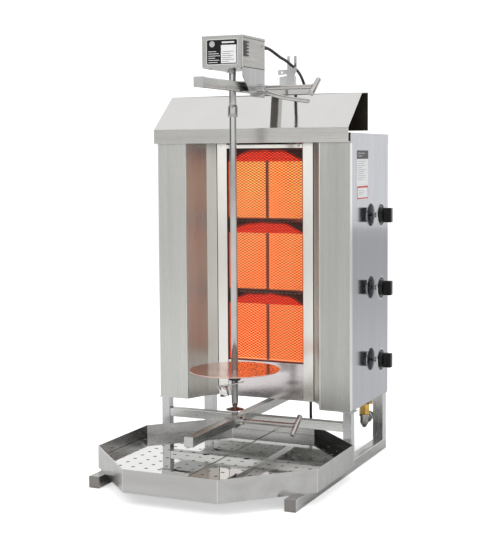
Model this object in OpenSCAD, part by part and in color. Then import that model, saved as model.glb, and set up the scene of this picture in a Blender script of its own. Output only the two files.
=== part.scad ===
// Upright gas gyros grill for a counter top.
// A U-shaped steel casing holds a column of infrared burners behind a wire guard. A vertical spit turns in
// front of them between a lower arm, with a sliding foot bearing, and an upper arm, with a sliding gear motor.
// X points to the right, Y to the back and Z up. The origin is the middle of the footprint, on the counter.

/* [Casing] */
// Width of the casing across the side panels
body_w = 480; // [460:5:520]
// Depth of the casing from column front to rear panel
body_d = 265; // [255:5:300]
// Height of the casing's underside above the counter
body_z = 137; // [132:1:150]
// Height of the top cover above the counter
cover_z = 758; // [750:2:790]
// Width of each front column
column_w = 73; // [60:1:80]
// Thickness of the casing's sheet
sheet = 1.5; // [1:0.25:2]
// Height of the top cover's edge band
cover_band = 23.5; // [15:0.5:30]

/* [Burners] */
// Height of a ceramic tile
tile_h = 132; // [120:1:140]
// Width of a ceramic tile
tile_w = 92; // [80:1:92]
// Distance from one burner to the next
burner_pitch = 168; // [160:1:170]
// Height of the lowest tile's bottom edge
burner_z = 226.5; // [220:0.5:232]
// Distance of the tiles behind the column fronts
tile_y = 91.5; // [88:0.5:96]

/* [Frame] */
// Side of the skid and rear upright tubes
skid_w = 25; // [20:1:30]
// Side of the arm, front upright and cross tubes
tube_w = 20; // [18:1:22]
// Reach of the skids in front of the columns
skid_reach = 318; // [280:2:360]
// Reach of both arms in front of the columns
arm_reach = 315; // [280:5:340]
// Height of the lower arm's underside
lower_arm_z = 109.5; // [108:0.5:111]
// Height of the upper arm's underside
upper_arm_z = 846.5; // [846.5:0.5:850]
// Distance of the upper arm's middle to the right of the spit
upper_arm_x = 30; // [28:1:34]

/* [Spit] */
// Diameter of the spit
spit_d = 15.2; // [14:0.2:16]
// Distance of the spit in front of the columns
spit_reach = 92; // [80:1:120]
// Diameter of the meat plate
plate_d = 202; // [160:2:206]
// Height of the meat plate's top face
plate_z = 234; // [225:1:260]

/* [Motor] */
// Width of the motor box
motor_w = 97; // [90:1:100]
// Depth of the motor box
motor_d = 115; // [100:1:120]
// Height of the motor box
motor_h = 67; // [60:1:75]

/* [Tray] */
// Width of the drip tray across its flats
tray_w = 519; // [500:1:519]
// Height of the drip tray's wall
tray_h = 48.5; // [40:0.5:55]
// Distance of the tray's middle in front of the columns
tray_reach = 141; // [141:1:160]

/* [Controls] */
// Distance of the knobs behind the column fronts
knob_y = 173.5; // [165:0.5:180]
// Diameter of a knob's flange
knob_d = 54; // [50:1:60]
// Reach of a knob beyond the side panel
knob_reach = 40; // [36:1:46]

/* [Hidden] */
STEEL = "silver";
BRIGHT = "gainsboro";
BLACK = "dimgray";
BRASS = "goldenrod";
eps = 0.01;
gap = 0.3;
$fn = 48;

half_w = body_w / 2;
tube_wall = 2;
mid_x = (half_w + knob_reach - tray_w / 2) / 2;
mid_y = (body_d + 1 - tray_reach - tray_w / 2) / 2;

// Broiling recess, right half, in plan: column edge, two bends, guard edge
guard_half = 97;
guard_y = 78.5;
recess = [[half_w - column_w, sheet], [141, 57], [123.5, 75.5]];
panel_top = cover_z - sheet;
guard_z = [224, 725.5];

knob_pitch = burner_pitch + 2;
knob_z = [for (k = [0 : 2]) burner_z + 3 + k * knob_pitch];
spindle_d = 8;

upright_z = body_z - sheet;
skid_back = body_d - 12;
rear_tube_y = skid_back - skid_w;
mast = [upper_arm_x, rear_tube_y + skid_w / 2];
arm_z = upper_arm_z + tube_w / 2;
receiver = 30;
receiver_front = 118.5;

hood_lip = 15.5;
hood_half = half_w + 1;
hood_z = [737, 770, 848.5, 850.8, 764];
hood_ridge = [75, 117.5];

spit_y = -spit_reach;
saddle_half = tube_w / 2 + gap;
saddle_y = [spit_y - 28, spit_y + 28];
saddle_wall = 2.4;
saddle_top = lower_arm_z + tube_w + gap + saddle_wall;
bearing_h = 12;
clamp_z = lower_arm_z + tube_w / 2;
lower_rod_end = 148;
upper_rod_end = 179;
upper_clamp_y = spit_y + 37;
rod_d = 10;
bar_d = 12;
bar_len = 56;
bar_lean = 37;

motor_x = [-45, -45 + motor_w];
motor_y = [spit_y - motor_d / 2, spit_y + motor_d / 2];
motor_z = 898;
drive_d = 16;
coupler_z = [793, 819];
spigot_d = 9.8;
spigot_h = 53;
shank_top = 797;
taper_z = [149, 159];
pin_d = 9;
lock_tilt = 13.5;

insert_z = 46.5;
insert_gap = 1;

gas_x = 198;
gas_y = 214;
gas_block_z = [88, 114];
inlet_z = 76;
inlet_thread = 20.9;

cord_d = 7;
coil_in = 30;
coil_pitch = 7.5;
coil_mid = [-15, 335];
plug_d = 36;
plug_side = coil_in + 2.25 * coil_pitch;
plug_back = 313;
gland = [44, -11, 947.5];
cord_route = [
    gland + [0, 0.4, 0], [44, 2, 947.3], [44.5, 16, 945], [46, 32, 940.5], [46, 50, 936.5], [46, 68, 932.5],
    [46, 88, 929.5], [45.5, 108, 926], [44.5, 127, 922], [43.5, 145, 918], [41.5, 163, 915],
    [39, 182, 911.5], [36.5, 200, 907], [34, 217, 901.5], [31.5, 233, 894.5], [29.5, 248, 885.5],
    [28.5, 262, 873], [28.5, 273, 857], [29, 281, 838], [29.5, 286, 815], [30, 288, 790],
    [30, 288, 740], [30, 288, 690], [30, 288, 640], [30, 288, 590], [30, 288, 540], [30, 288, 490],
    [30, 288, 440], [30, 288, 390], [30, 288, 340], [30, 288, 290], [30, 288, 240], [30, 288, 190],
    [30, 288, 140], [30, 288, 90], [30, 288, 60], [30, 289.5, 44], [30, 293.5, 29.5],
    [30, 300.5, 17], [30, 310.5, 8.5]
];

// Moves the machine's own datum, between the column fronts, to the middle of the footprint.
module place() translate([-mid_x, -mid_y, 0]) children();

module both_sides() {
    children();
    mirror([1, 0, 0]) children();
}

// A block between two opposite corners.
module block(low, high) translate(low) cube(high - low);

// A square tube between two corners, open along the given axis.
module tube(low, high, axis, wall) {
    inset = [for (i = [0 : 2]) i == axis ? -1 : wall];
    difference() {
        block(low, high);
        block(low + inset, high - inset);
    }
}

module rod_x(x1, x2, y, z, d) translate([x1, y, z]) rotate([0, 90, 0]) cylinder(h = x2 - x1, d = d);

module rod_y(x, y1, y2, z, d) translate([x, y2, z]) rotate([90, 0, 0]) cylinder(h = y2 - y1, d = d);

// Stands a side-view outline, drawn as [y, z], between two values of x.
module profile_x(x1, x2) translate([x1, 0, 0]) rotate([90, 0, 90]) linear_extrude(x2 - x1) children();

// Stands a front-view outline, drawn as [x, z], between two values of y.
module profile_y(y1, y2) translate([0, y2, 0]) rotate([90, 0, 0]) linear_extrude(y2 - y1) children();

function unit(v) = v / norm(v);
function left_of(v) = [-v[1], v[0]];
function miter(a, b, c) = let (m = left_of(unit(b - a)), n = left_of(unit(c - b))) (m + n) / (1 + m * n);
function side_of(p, i) = i == 0 ? left_of(unit(p[1] - p[0]))
    : i == len(p) - 1 ? left_of(unit(p[i] - p[i - 1]))
    : miter(p[i - 1], p[i], p[i + 1]);

// The cross-section of a folded sheet that follows a line of points, thick to its left.
module folded(p, thick) {
    last = len(p) - 1;
    polygon(concat(p, [for (i = [last : -1 : 0]) p[i] + thick * side_of(p, i)]));
}

// One closed tube of triangles and quads swept along a line of points.
module swept(path, d, sides) {
    last = len(path) - 1;
    function along(i) = unit(path[min(i + 1, last)] - path[max(i - 1, 0)]);
    function across(i) = unit(cross(along(i), abs(along(i)[0]) > 0.9 ? [0, 1, 0] : [1, 0, 0]));
    rings = [for (i = [0 : last]) for (s = [0 : sides - 1])
        path[i] + d / 2 * (cos(360 * s / sides) * across(i)
            + sin(360 * s / sides) * cross(along(i), across(i)))];
    walls = [for (i = [0 : last - 1]) for (s = [0 : sides - 1])
        [i * sides + s, (i + 1) * sides + s, (i + 1) * sides + (s + 1) % sides, i * sides + (s + 1) % sides]];
    polyhedron(rings, concat([[for (s = [0 : sides - 1]) s]], walls,
        [[for (s = [sides - 1 : -1 : 0]) last * sides + s]]));
}

// ---------------------------------------------------------------- frame

module skid_rails() color(STEEL) place() both_sides()
    tube([half_w - skid_w, 2 - skid_reach, 0], [half_w, skid_back - 2, skid_w], 1, tube_wall);

// End caps of both skids and push-on caps of both arms.
module tube_caps() color(STEEL) place() {
    cap = tube_w / 2 + 0.5;
    for (side = [-1, 1], y = [-skid_reach, skid_back - 2])
        translate([side * (half_w - skid_w / 2), y + 1, skid_w / 2]) cube([skid_w, 2, skid_w], center = true);
    for (at = [[0, clamp_z], [upper_arm_x, arm_z]]) difference() {
        block([at[0] - cap, -arm_reach, at[1] - cap], [at[0] + cap, 10 - arm_reach, at[1] + cap]);
        block([at[0] - cap + 0.5, 2 - arm_reach, at[1] - cap + 0.5],
            [at[0] + cap - 0.5, 11 - arm_reach, at[1] + cap - 0.5]);
    }
}

module uprights() color(STEEL) place() both_sides() {
    tube([half_w - tube_w, 7, skid_w], [half_w, 7 + tube_w, upright_z], 2, tube_wall);
    tube([half_w - skid_w, rear_tube_y, skid_w], [half_w, skid_back, upright_z], 2, tube_wall);
}

module upright_flanges() color(STEEL) place() both_sides() {
    block([half_w - 27, 2, upright_z], [half_w + 6, 35, body_z]);
    block([half_w - 32, rear_tube_y - 6, upright_z], [half_w + 1, skid_back + 6, body_z]);
}

module cross_tubes() color(STEEL) place() {
    front_half = half_w - tube_w;
    rear_half = half_w - skid_w;
    tube([-front_half, 9, lower_arm_z - tube_w], [front_half, 9 + tube_w, lower_arm_z], 0, tube_wall);
    tube([-rear_half, rear_tube_y, lower_arm_z], [rear_half, skid_back, lower_arm_z + skid_w], 0, tube_wall);
}

module lower_arm() color(STEEL) place()
    tube([-tube_w / 2, 2 - arm_reach, lower_arm_z], [tube_w / 2, rear_tube_y, lower_arm_z + tube_w], 1,
        tube_wall);

module mast_tube() color(STEEL) place() {
    half = skid_w / 2;
    tube([mast[0] - half, rear_tube_y, lower_arm_z + skid_w], [mast[0] + half, skid_back, arm_z - receiver / 2],
        2, tube_wall);
}

module arm_receiver() color(STEEL) place() difference() {
    half = receiver / 2;
    inner = tube_w / 2 + 0.1;
    block([upper_arm_x - half, receiver_front, arm_z - half], [upper_arm_x + half, skid_back, arm_z + half]);
    block([upper_arm_x - inner, receiver_front - 1, arm_z - inner],
        [upper_arm_x + inner, skid_back - 2, arm_z + inner]);
}

module upper_arm() color(STEEL) place()
    tube([upper_arm_x - tube_w / 2, 2 - arm_reach, upper_arm_z],
        [upper_arm_x + tube_w / 2, skid_back - 3, upper_arm_z + tube_w], 1, tube_wall);

// Plate on the receiver with a forked top that carries the motor's lead, and an eyed ear.
module cable_fork() color(STEEL) place() {
    foot = arm_z + receiver / 2;
    difference() {
        profile_y(144, 147)
            polygon([[10, foot], [48.5, foot], [48.5, 898], [53.5, 910], [53.5, 942], [47.5, 942], [47.5, 914],
                [39.3, 914], [36, 922], [36, 942], [30, 942], [30, 910.5], [8, 910.5], [6, 908.5],
                [6, 900.5], [8, 898.5], [27, 900], [30, 896.5], [10, 893.5]]);
        rod_y(15.8, 143, 148, 904.5, 5);
    }
    block([45.5, 147, foot], [48.5, 156, 896]);
}

// ---------------------------------------------------------------- casing

module column() difference() {
    inner = half_w - column_w;
    block([inner, 0, body_z], [half_w, 14, panel_top]);
    block([inner + sheet, sheet, body_z - 1], [half_w - sheet, 15, panel_top + 1]);
}

module column_left() color(STEEL) place() mirror([1, 0, 0]) column();
module column_right() color(STEEL) place() column();

module side_panel() block([half_w - sheet, 14.2, body_z], [half_w, body_d, panel_top]);

module side_panel_left() color(STEEL) place() mirror([1, 0, 0]) side_panel();

module side_panel_right() color(STEEL) place() difference() {
    side_panel();
    for (z = knob_z) rod_x(half_w - 5, half_w + 5, knob_y, z, 13);
}

// Lid with an edge band on three sides, a flue slot over the recess, and slots over the burners' backs.
module top_cover() color(STEEL) place() difference() {
    block([-half_w - 1, 0, cover_z - cover_band], [half_w + 1, body_d + 1, cover_z]);
    block([-half_w - 0.1, -1, cover_z - cover_band - 1], [half_w + 0.1, body_d + 0.1, cover_z - sheet]);
    block([-90, 24, cover_z - 5], [90, 62, cover_z + 5]);
    block([mast[0] - 14, rear_tube_y - 1.5, cover_z - 5], [mast[0] + 14, skid_back + 1.5, cover_z + 5]);
    for (side = [-1, 1], i = [0 : 7])
        block([side * 120 - 45, 140 + 11 * i, cover_z - 5], [side * 120 + 45, 145 + 11 * i, cover_z + 5]);
}

// Bent deflector hood, open at both ends, with a notch in its ridge for the upper arm.
module hood() color(BRIGHT) place() difference() {
    profile_x(-hood_half, hood_half) folded([
        [-1, hood_z[0]], [-hood_lip, hood_z[0]], [-hood_lip, hood_z[1]], [hood_ridge[0], hood_z[2]],
        [hood_ridge[1], hood_z[3]], [hood_ridge[1], hood_z[4]]], -sheet);
    notch = tube_w / 2 + 2;
    block([upper_arm_x - notch, hood_ridge[0] - 20, upper_arm_z - 0.6],
        [upper_arm_x + notch, hood_ridge[1] + 1, upper_arm_z + tube_w]);
}

module rear_panel() color(STEEL) place() difference() {
    block([sheet - half_w, body_d - sheet, body_z], [half_w - sheet, body_d, panel_top]);
    for (side = [-1, 1], i = [0 : 9])
        block([side * 120 - 45, body_d - 5, 560 + 14 * i], [side * 120 + 45, body_d + 5, 566 + 14 * i]);
}

// Underside of the casing: a U in plan, open under the recess, with holes for the mast and the gas line.
module bottom_panel() color(STEEL) place() difference() {
    inner = half_w - sheet;
    translate([0, 0, body_z]) linear_extrude(sheet) difference() {
        polygon([[-inner, 15], [inner, 15], [inner, body_d - sheet], [-inner, body_d - sheet]]);
        polygon(concat([[-recess[0][0] - 2, 0]], [for (p = [recess[1], recess[2]]) [-p[0] - 2, p[1] + 2]],
            [for (side = [-1, 1]) [side * (recess[2][0] + 2), 86]],
            [for (p = [recess[2], recess[1]]) [p[0] + 2, p[1] + 2]], [[recess[0][0] + 2, 0]]));
    }
    block([mast[0] - 14, rear_tube_y - 1.5, body_z - 5], [mast[0] + 14, skid_back + 1.5, body_z + 5]);
    translate([gas_x, gas_y, body_z - 5]) cylinder(h = 10, d = 26);
}

module reflector() translate([0, 0, body_z]) linear_extrude(panel_top - body_z)
    folded([[recess[0][0] - 1.4, 1.6], recess[1], recess[2]], -1.2);

module reflector_left() color(BRIGHT) place() mirror([1, 0, 0]) reflector();
module reflector_right() color(BRIGHT) place() reflector();

// Upright channels that hold the edges of the guard mesh, and the rail over it.
module guard_channels() color(BRIGHT) place() {
    both_sides() translate([0, 0, body_z]) linear_extrude(panel_top - body_z)
        folded([[guard_half, 84], [guard_half, 75], [recess[2][0] - 1.5, 75], [recess[2][0] - 1.5, 84]], 1.2);
    block([-guard_half + 0.2, 73, guard_z[1] + 0.2], [guard_half - 0.2, 81, guard_z[1] + 8.8]);
}

module lower_panel() color(BRIGHT) place() profile_x(-guard_half + 0.2, guard_half - 0.2)
    folded([[84, guard_z[0] - 0.3], [77, guard_z[0] - 0.3], [77, body_z], [85.5, body_z]], sheet);

module guard_mesh() color(BLACK) place()
    block([-guard_half + 0.4, guard_y, guard_z[0]], [guard_half - 0.4, guard_y + 1.6, guard_z[1]]);

// ---------------------------------------------------------------- burners

module each_burner() for (k = [0 : 2]) translate([0, 0, burner_z + k * burner_pitch]) children();

// Plenum casings with a pocket in front for each pair of tiles.
module burner_housings() color(STEEL) place() each_burner() difference() {
    outer = tile_w + 7;
    block([-outer, tile_y, -4], [outer, tile_y + 58, tile_h + 4]);
    both_sides() block([4, tile_y - 1, 0], [4 + tile_w, tile_y + 12, tile_h]);
    block([3 - tile_w, tile_y + 11, 4], [tile_w - 3, tile_y + 55, tile_h - 4]);
}

module ceramic_tiles() color("orange") place() each_burner() both_sides()
    block([4, tile_y, 0], [4 + tile_w, tile_y + 12, tile_h]);

// Sloping glow plates over each burner and dark shelves between the burners.
module burner_deflectors() color(BLACK) place() {
    wide = guard_half - 1;
    top = tile_h + 4;
    each_burner() profile_x(-wide, wide)
        folded([[tile_y - 0.2, top - 3], [tile_y - 8, top + 24]], 1.2);
    for (k = [1, 2]) translate([0, 0, burner_z + k * burner_pitch])
        block([-wide, guard_y + 2, -7.5], [wide, tile_y - 0.2, -5.5]);
}

// ---------------------------------------------------------------- gas line

module gas_manifold() color(STEEL) place()
    translate([gas_x, gas_y, gas_block_z[1]]) cylinder(h = knob_z[2] + 20 - gas_block_z[1], d = 16);

module gas_valves() color(BRASS) place() for (z = knob_z) difference() {
    union() {
        block([gas_x - 6, knob_y - 12, z - 13], [half_w - 8, knob_y + 12, z + 13]);
        rod_y(gas_x, knob_y + 11, gas_y - 8.2, z, 12);
        rod_x(half_w - 9, half_w - 2, knob_y, z, 20);
    }
    rod_x(gas_x + 8, half_w, knob_y, z, spindle_d + 1);
}

module feed_pipes() color("peru") place() for (z = knob_z) {
    bend_y = tile_y + 46;
    rod_x(tile_w + 7.2, gas_x + 4, bend_y, z + 6, 8);
    rod_y(gas_x, bend_y, knob_y - 12.2, z + 6, 8);
}

module inlet_block() color(BRASS) place() translate([gas_x, gas_y, gas_block_z[0]])
    cylinder(h = gas_block_z[1] - gas_block_z[0], d = 26, $fn = 6);

// Elbow under the casing whose threaded end points to the back.
module inlet_elbow() color(BRIGHT) place() {
    foot = inlet_z - 9;
    translate([gas_x, gas_y, foot]) cylinder(h = gas_block_z[0] - foot, d = 21);
    translate([gas_x, gas_y, foot - 12]) cylinder(h = 12 + eps, d1 = 6, d2 = 21);
    rod_y(gas_x, gas_y, gas_y + 24, inlet_z, 15);
    translate([gas_x, gas_y + 15, inlet_z]) rotate([-90, 0, 0]) cylinder(h = 10, d = 26, $fn = 6);
    rod_y(gas_x, gas_y + 24, gas_y + 44, inlet_z, inlet_thread);
}

// ---------------------------------------------------------------- controls

module valve_spindle(z) color(BRIGHT) place() rod_x(gas_x + 14, half_w + 24, knob_y, z, spindle_d);

module valve_spindle_low() valve_spindle(knob_z[0]);
module valve_spindle_mid() valve_spindle(knob_z[1]);
module valve_spindle_top() valve_spindle(knob_z[2]);

// Flanged knob with a flat grip, bored for its spindle.
module burner_knob(z) color(BLACK) place() difference() {
    flange = half_w + 10.8;
    tip = half_w + knob_reach;
    union() {
        rod_x(flange, flange + 3.2, knob_y, z, knob_d);
        rod_x(flange + 3, flange + 10, knob_y, z, 36);
        intersection() {
            rod_x(flange + 3, tip, knob_y, z, 37);
            block([flange, knob_y - 7.5, z - 17], [tip, knob_y + 7.5, z + 17]);
        }
    }
    rod_x(flange - 1, half_w + 25, knob_y, z, spindle_d + 0.5);
}

module burner_knob_low() burner_knob(knob_z[0]);
module burner_knob_mid() burner_knob(knob_z[1]);
module burner_knob_top() burner_knob(knob_z[2]);

// ---------------------------------------------------------------- drip tray

module octagon(across) rotate(22.5) circle(d = across / cos(22.5), $fn = 8);

module drip_tray() color(STEEL) place() translate([0, -tray_reach, skid_w]) difference() {
    linear_extrude(tray_h) octagon(tray_w);
    translate([0, 0, sheet]) linear_extrude(tray_h) octagon(tray_w - 2 * sheet);
}

// Half of the loose tray floor: a sheet on folded legs, with a finger hole.
module insert() translate([0, -tray_reach, 0]) {
    difference() {
        translate([0, 0, insert_z]) linear_extrude(sheet) intersection() {
            octagon(tray_w - 2 * sheet - 3);
            translate([insert_gap / 2, -tray_w]) square([tray_w, 2 * tray_w]);
        }
        translate([50, 3, insert_z - 5]) cylinder(h = 10, d = 15);
    }
    for (y = [-150, 0, 150]) block([4, y - 12, skid_w + sheet], [4 + sheet, y + 12, insert_z]);
    for (y = [-80, 80]) block([225, y - 12, skid_w + sheet], [225 + sheet, y + 12, insert_z]);
}

module insert_left() color(BRIGHT) place() mirror([1, 0, 0]) insert();
module insert_right() color(BRIGHT) place() insert();

// ---------------------------------------------------------------- spit and foot

// Channel that rides on the lower arm, with the clamp nut on its right cheek.
module spit_saddle() color(STEEL) place() difference() {
    outer = saddle_half + saddle_wall;
    low = lower_arm_z - 2.5;
    union() {
        difference() {
            block([-outer, saddle_y[0], low], [outer, saddle_y[1], saddle_top]);
            block([-saddle_half, saddle_y[0] - 1, low - 1],
                [saddle_half, saddle_y[1] + 1, saddle_top - saddle_wall]);
        }
        rod_x(outer - eps, outer + 9, spit_y, clamp_z, 17);
    }
    rod_x(saddle_half - 1, outer + 10, spit_y, clamp_z, rod_d + 0.6);
}

module foot_bearing() color(BRIGHT) place() translate([0, spit_y, saddle_top]) difference() {
    cylinder(h = bearing_h, d = 14);
    translate([0, 0, 2]) cylinder(h = bearing_h, d = pin_d + 0.6);
}

module drip_disc() color("rosybrown") place() translate([0, spit_y, saddle_top + bearing_h]) rotate_extrude()
    polygon([[pin_d / 2 + 0.7, 0], [7, 0], [20, -0.5], [20, 0.7], [7.5, 4.5], [pin_d / 2 + 0.7, 4.5]]);

// Threaded rod with a cross bar, pointing to the right.
module clamp_screw(x1, x2, y, z) {
    rod_x(x1, x2, y, z, rod_d);
    translate([x2, y, z]) rotate([bar_lean - 90, 0, 0]) cylinder(h = bar_len, d = bar_d, center = true);
}

module lower_clamp_screw() color(STEEL) place()
    clamp_screw(tube_w / 2 + gap, lower_rod_end, spit_y, clamp_z);

// Round spit: foot pin, taper, long shank, and a spigot for the drive tube.
module spit() color(STEEL) place() translate([0, spit_y, 0]) {
    pin_z = saddle_top + 2.2;
    translate([0, 0, pin_z]) cylinder(h = taper_z[0] - pin_z, d = pin_d);
    translate([0, 0, taper_z[0] - eps]) cylinder(h = taper_z[1] - taper_z[0] + 2 * eps, d1 = pin_d, d2 = spit_d);
    translate([0, 0, taper_z[1]]) cylinder(h = shank_top - taper_z[1], d = spit_d);
    translate([0, 0, shank_top - eps]) cylinder(h = spigot_h, d = spigot_d);
}

module meat_plate() color(BRIGHT) place() translate([0, spit_y, 0]) difference() {
    union() {
        translate([0, 0, plate_z - 2]) cylinder(h = 2, d = plate_d, $fn = 96);
        translate([0, 0, plate_z - 24]) cylinder(h = 23, d = 26);
    }
    translate([0, 0, plate_z - 30]) cylinder(h = 40, d = spit_d + 0.8);
}

// Tilting lock plate round the spit, with a cylindrical grip and a bent-down tab.
module plate_lock() color(STEEL) place() translate([0, spit_y, plate_z - 32]) rotate([0, -lock_tilt, 0]) {
    difference() {
        union() {
            block([-40, -10, -1.25], [14, 10, 1.25]);
            translate([12, 0, -1.25]) cylinder(h = 2.5, d = 20);
        }
        translate([0, 0, -5]) cylinder(h = 10, d = spit_d + 1.8);
    }
    translate([-30, 0, -24]) cylinder(h = 24, d = 23);
    block([-13, -10, -21], [-8.4, -7.5, 1]);
}

// ---------------------------------------------------------------- motor unit

module motor_box() color(STEEL) place() difference() {
    block([motor_x[0], motor_y[0], motor_z], [motor_x[1], motor_y[1], motor_z + motor_h]);
    block([motor_x[0] + sheet, motor_y[0] + sheet, motor_z - 1],
        [motor_x[1] - sheet, motor_y[1] - sheet, motor_z + motor_h - sheet]);
}

// Base plate under the box with a hanging cheek and a sleeve that rides on the upper arm.
module motor_bracket() color(STEEL) place() difference() {
    cheek = [motor_x[1] - 2, motor_x[1]];
    sleeve_y = [spit_y - 20, spit_y + 51];
    left = upper_arm_x - tube_w / 2 - gap;
    over = upper_arm_z + tube_w + gap;
    union() {
        block([motor_x[0] + 1, motor_y[0] + 1, motor_z - 2], [motor_x[1], motor_y[1] - 1, motor_z]);
        profile_x(cheek[0], cheek[1]) polygon([[motor_y[0] + 1, motor_z - 1], [motor_y[0], 878.5],
            [spit_y - 14, 835.5], [spit_y + 55, 835.5], [motor_y[1] - 1, motor_z - 1]]);
        block([left - 2.2, sleeve_y[0], over], [cheek[0] + eps, sleeve_y[1], over + 2.2]);
        block([left - 2.2, sleeve_y[0], upper_arm_z], [left, sleeve_y[1], over + eps]);
        block([upper_arm_x, -136, upper_arm_z - 2.6], [cheek[0] + eps, sleeve_y[1] - 20, upper_arm_z - gap]);
        rod_x(cheek[1] - eps, cheek[1] + 7, upper_clamp_y, arm_z, 17);
    }
    rod_x(cheek[0] - 1, cheek[1] + 8, upper_clamp_y, arm_z, rod_d + 0.6);
    translate([0, spit_y, motor_z - 5]) cylinder(h = 10, d = drive_d + 4);
}

// Gearbox with the motor beside it, bored for the drive shaft.
module gear_motor() color("gray") place() difference() {
    union() {
        block([-28, spit_y - 30, motor_z + 2], [38, spit_y + 30, motor_z + 36]);
        rod_y(18, spit_y - 48, spit_y + 50, motor_z + 42, 36);
    }
    translate([0, spit_y, motor_z - 5]) cylinder(h = 36, d = drive_d + 0.8);
}

module vent_grille() color(BLACK) place() {
    front = motor_y[0] + 5;
    block([motor_x[1], front, 919.5], [motor_x[1] + 1, front + 14, 953]);
    for (i = [0 : 4]) block([motor_x[1], front + 13, 920.5 + 7 * i], [motor_x[1] + 1, front + 24, 924.5 + 7 * i]);
}

// Curved round pull handle with a round end.
module pull_handle() color(BRIGHT) place() {
    y = spit_y + 50;
    x = motor_x[1];
    route = [[x + 0.95, y, 849.4], [x + 8, y, 848], [x + 20, y, 843.5], [x + 34, y, 839], [x + 50, y, 835.3],
        [x + 72, y, 831.3], [x + 105, y, 826.3]];
    swept(route, 9.6, 16);
    translate(route[6]) rotate([0, 98, 0]) sphere(d = 9.5);
}

module cord_gland() color(BLACK) place() translate([gland[0], motor_y[1], gland[2]]) rotate([-90, 0, 0]) {
    reach = gland[1] - motor_y[1];
    cylinder(h = 5, d = 15, $fn = 6);
    translate([0, 0, 5 - eps]) cylinder(h = reach - 5 + eps, d1 = 14, d2 = cord_d + 2);
}

module upper_clamp_screw() color(STEEL) place()
    clamp_screw(upper_arm_x + tube_w / 2 + gap, upper_rod_end, upper_clamp_y, arm_z);

// Drive tube with a socket for the spit's spigot and a cross hole.
module drive_shaft() color(BRIGHT) place() translate([0, spit_y, 0]) difference() {
    foot = shank_top + 3;
    translate([0, 0, foot]) cylinder(h = motor_z + 30 - foot, d = drive_d);
    translate([0, 0, foot - 1]) cylinder(h = spigot_h + 1, d = spigot_d + 0.6);
    translate([0, 0, motor_z - 12]) rotate([90, 0, -25]) cylinder(h = 40, d = 4.5, center = true);
}

module coupler_sleeve() color(STEEL) place() translate([0, spit_y, 0]) rotate_extrude() {
    bore = drive_d / 2 + 0.35;
    polygon([[bore, coupler_z[0]], [10, coupler_z[0]], [11, coupler_z[0] + 1.5], [11, coupler_z[1] - 4],
        [9.6, coupler_z[1]], [bore, coupler_z[1]]]);
}

// ---------------------------------------------------------------- mains lead

// The hanging stretch as one swept tube, and the closed shape of the wound coil on the counter.
module power_cord() color(BLACK) place() swept(cord_route, cord_d, 8);

// Closed shape of the wound coil on the counter.
module cord_coil() color(BLACK) place() {
    low = coil_in - cord_d / 2;
    high = coil_in + 2.25 * coil_pitch + cord_d / 2;
    translate([coil_mid[0], coil_mid[1], 0]) rotate_extrude()
        polygon([[low, 0.2], [high, 0.2], [high, 14.5], [low, 14.5]]);
}

// Round two-pin plug with a tapered relief, lying beside the coil.
module mains_plug() color(BLACK) place() translate([coil_mid[0] - plug_side, plug_back, plug_d / 2])
    rotate([90, 0, 0]) {
        cylinder(h = 26, d1 = cord_d + 2, d2 = 14);
        translate([0, 0, 26 - eps]) cylinder(h = 8 + 2 * eps, d1 = 24, d2 = plug_d);
        translate([0, 0, 34]) cylinder(h = 32, d = plug_d);
        for (x = [-9.5, 9.5]) translate([x, 0, 66 - eps]) cylinder(h = 19, d = 4.8);
    }

skid_rails();
tube_caps();
uprights();
upright_flanges();
cross_tubes();
lower_arm();
mast_tube();
arm_receiver();
upper_arm();
cable_fork();
column_left();
column_right();
side_panel_left();
side_panel_right();
top_cover();
hood();
rear_panel();
bottom_panel();
reflector_left();
reflector_right();
guard_channels();
lower_panel();
guard_mesh();
burner_housings();
ceramic_tiles();
burner_deflectors();
gas_manifold();
gas_valves();
feed_pipes();
inlet_block();
inlet_elbow();
valve_spindle_low();
valve_spindle_mid();
valve_spindle_top();
burner_knob_low();
burner_knob_mid();
burner_knob_top();
drip_tray();
insert_left();
insert_right();
spit_saddle();
foot_bearing();
drip_disc();
lower_clamp_screw();
spit();
meat_plate();
plate_lock();
motor_box();
motor_bracket();
gear_motor();
vent_grille();
pull_handle();
cord_gland();
upper_clamp_screw();
drive_shaft();
coupler_sleeve();
power_cord();
cord_coil();
mains_plug();
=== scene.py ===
"""Looks of the upright gyros grill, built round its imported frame."""

import math

import bmesh
import bpy
from mathutils import Matrix, Vector


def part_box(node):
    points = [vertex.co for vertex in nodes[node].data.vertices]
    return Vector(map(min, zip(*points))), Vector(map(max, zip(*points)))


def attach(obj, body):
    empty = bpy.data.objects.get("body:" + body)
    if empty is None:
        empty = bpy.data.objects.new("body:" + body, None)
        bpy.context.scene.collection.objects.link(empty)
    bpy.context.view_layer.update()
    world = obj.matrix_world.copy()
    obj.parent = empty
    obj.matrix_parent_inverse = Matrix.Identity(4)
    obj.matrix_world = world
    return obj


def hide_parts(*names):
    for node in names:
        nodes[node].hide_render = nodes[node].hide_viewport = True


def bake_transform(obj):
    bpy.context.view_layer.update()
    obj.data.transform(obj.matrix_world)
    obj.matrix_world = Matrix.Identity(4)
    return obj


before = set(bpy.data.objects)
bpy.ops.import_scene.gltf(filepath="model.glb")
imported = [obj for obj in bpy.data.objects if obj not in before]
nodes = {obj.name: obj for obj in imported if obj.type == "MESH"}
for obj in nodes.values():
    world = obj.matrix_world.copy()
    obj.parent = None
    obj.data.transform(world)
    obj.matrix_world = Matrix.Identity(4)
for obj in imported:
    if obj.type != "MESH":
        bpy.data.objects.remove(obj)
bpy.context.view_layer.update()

MM = 0.001
SHARP = 35
SPIT_LOW, SPIT_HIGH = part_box("spit")
DATUM = Vector(((SPIT_LOW.x + SPIT_HIGH.x) / 2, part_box("column_right")[0].y, 0))


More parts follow.
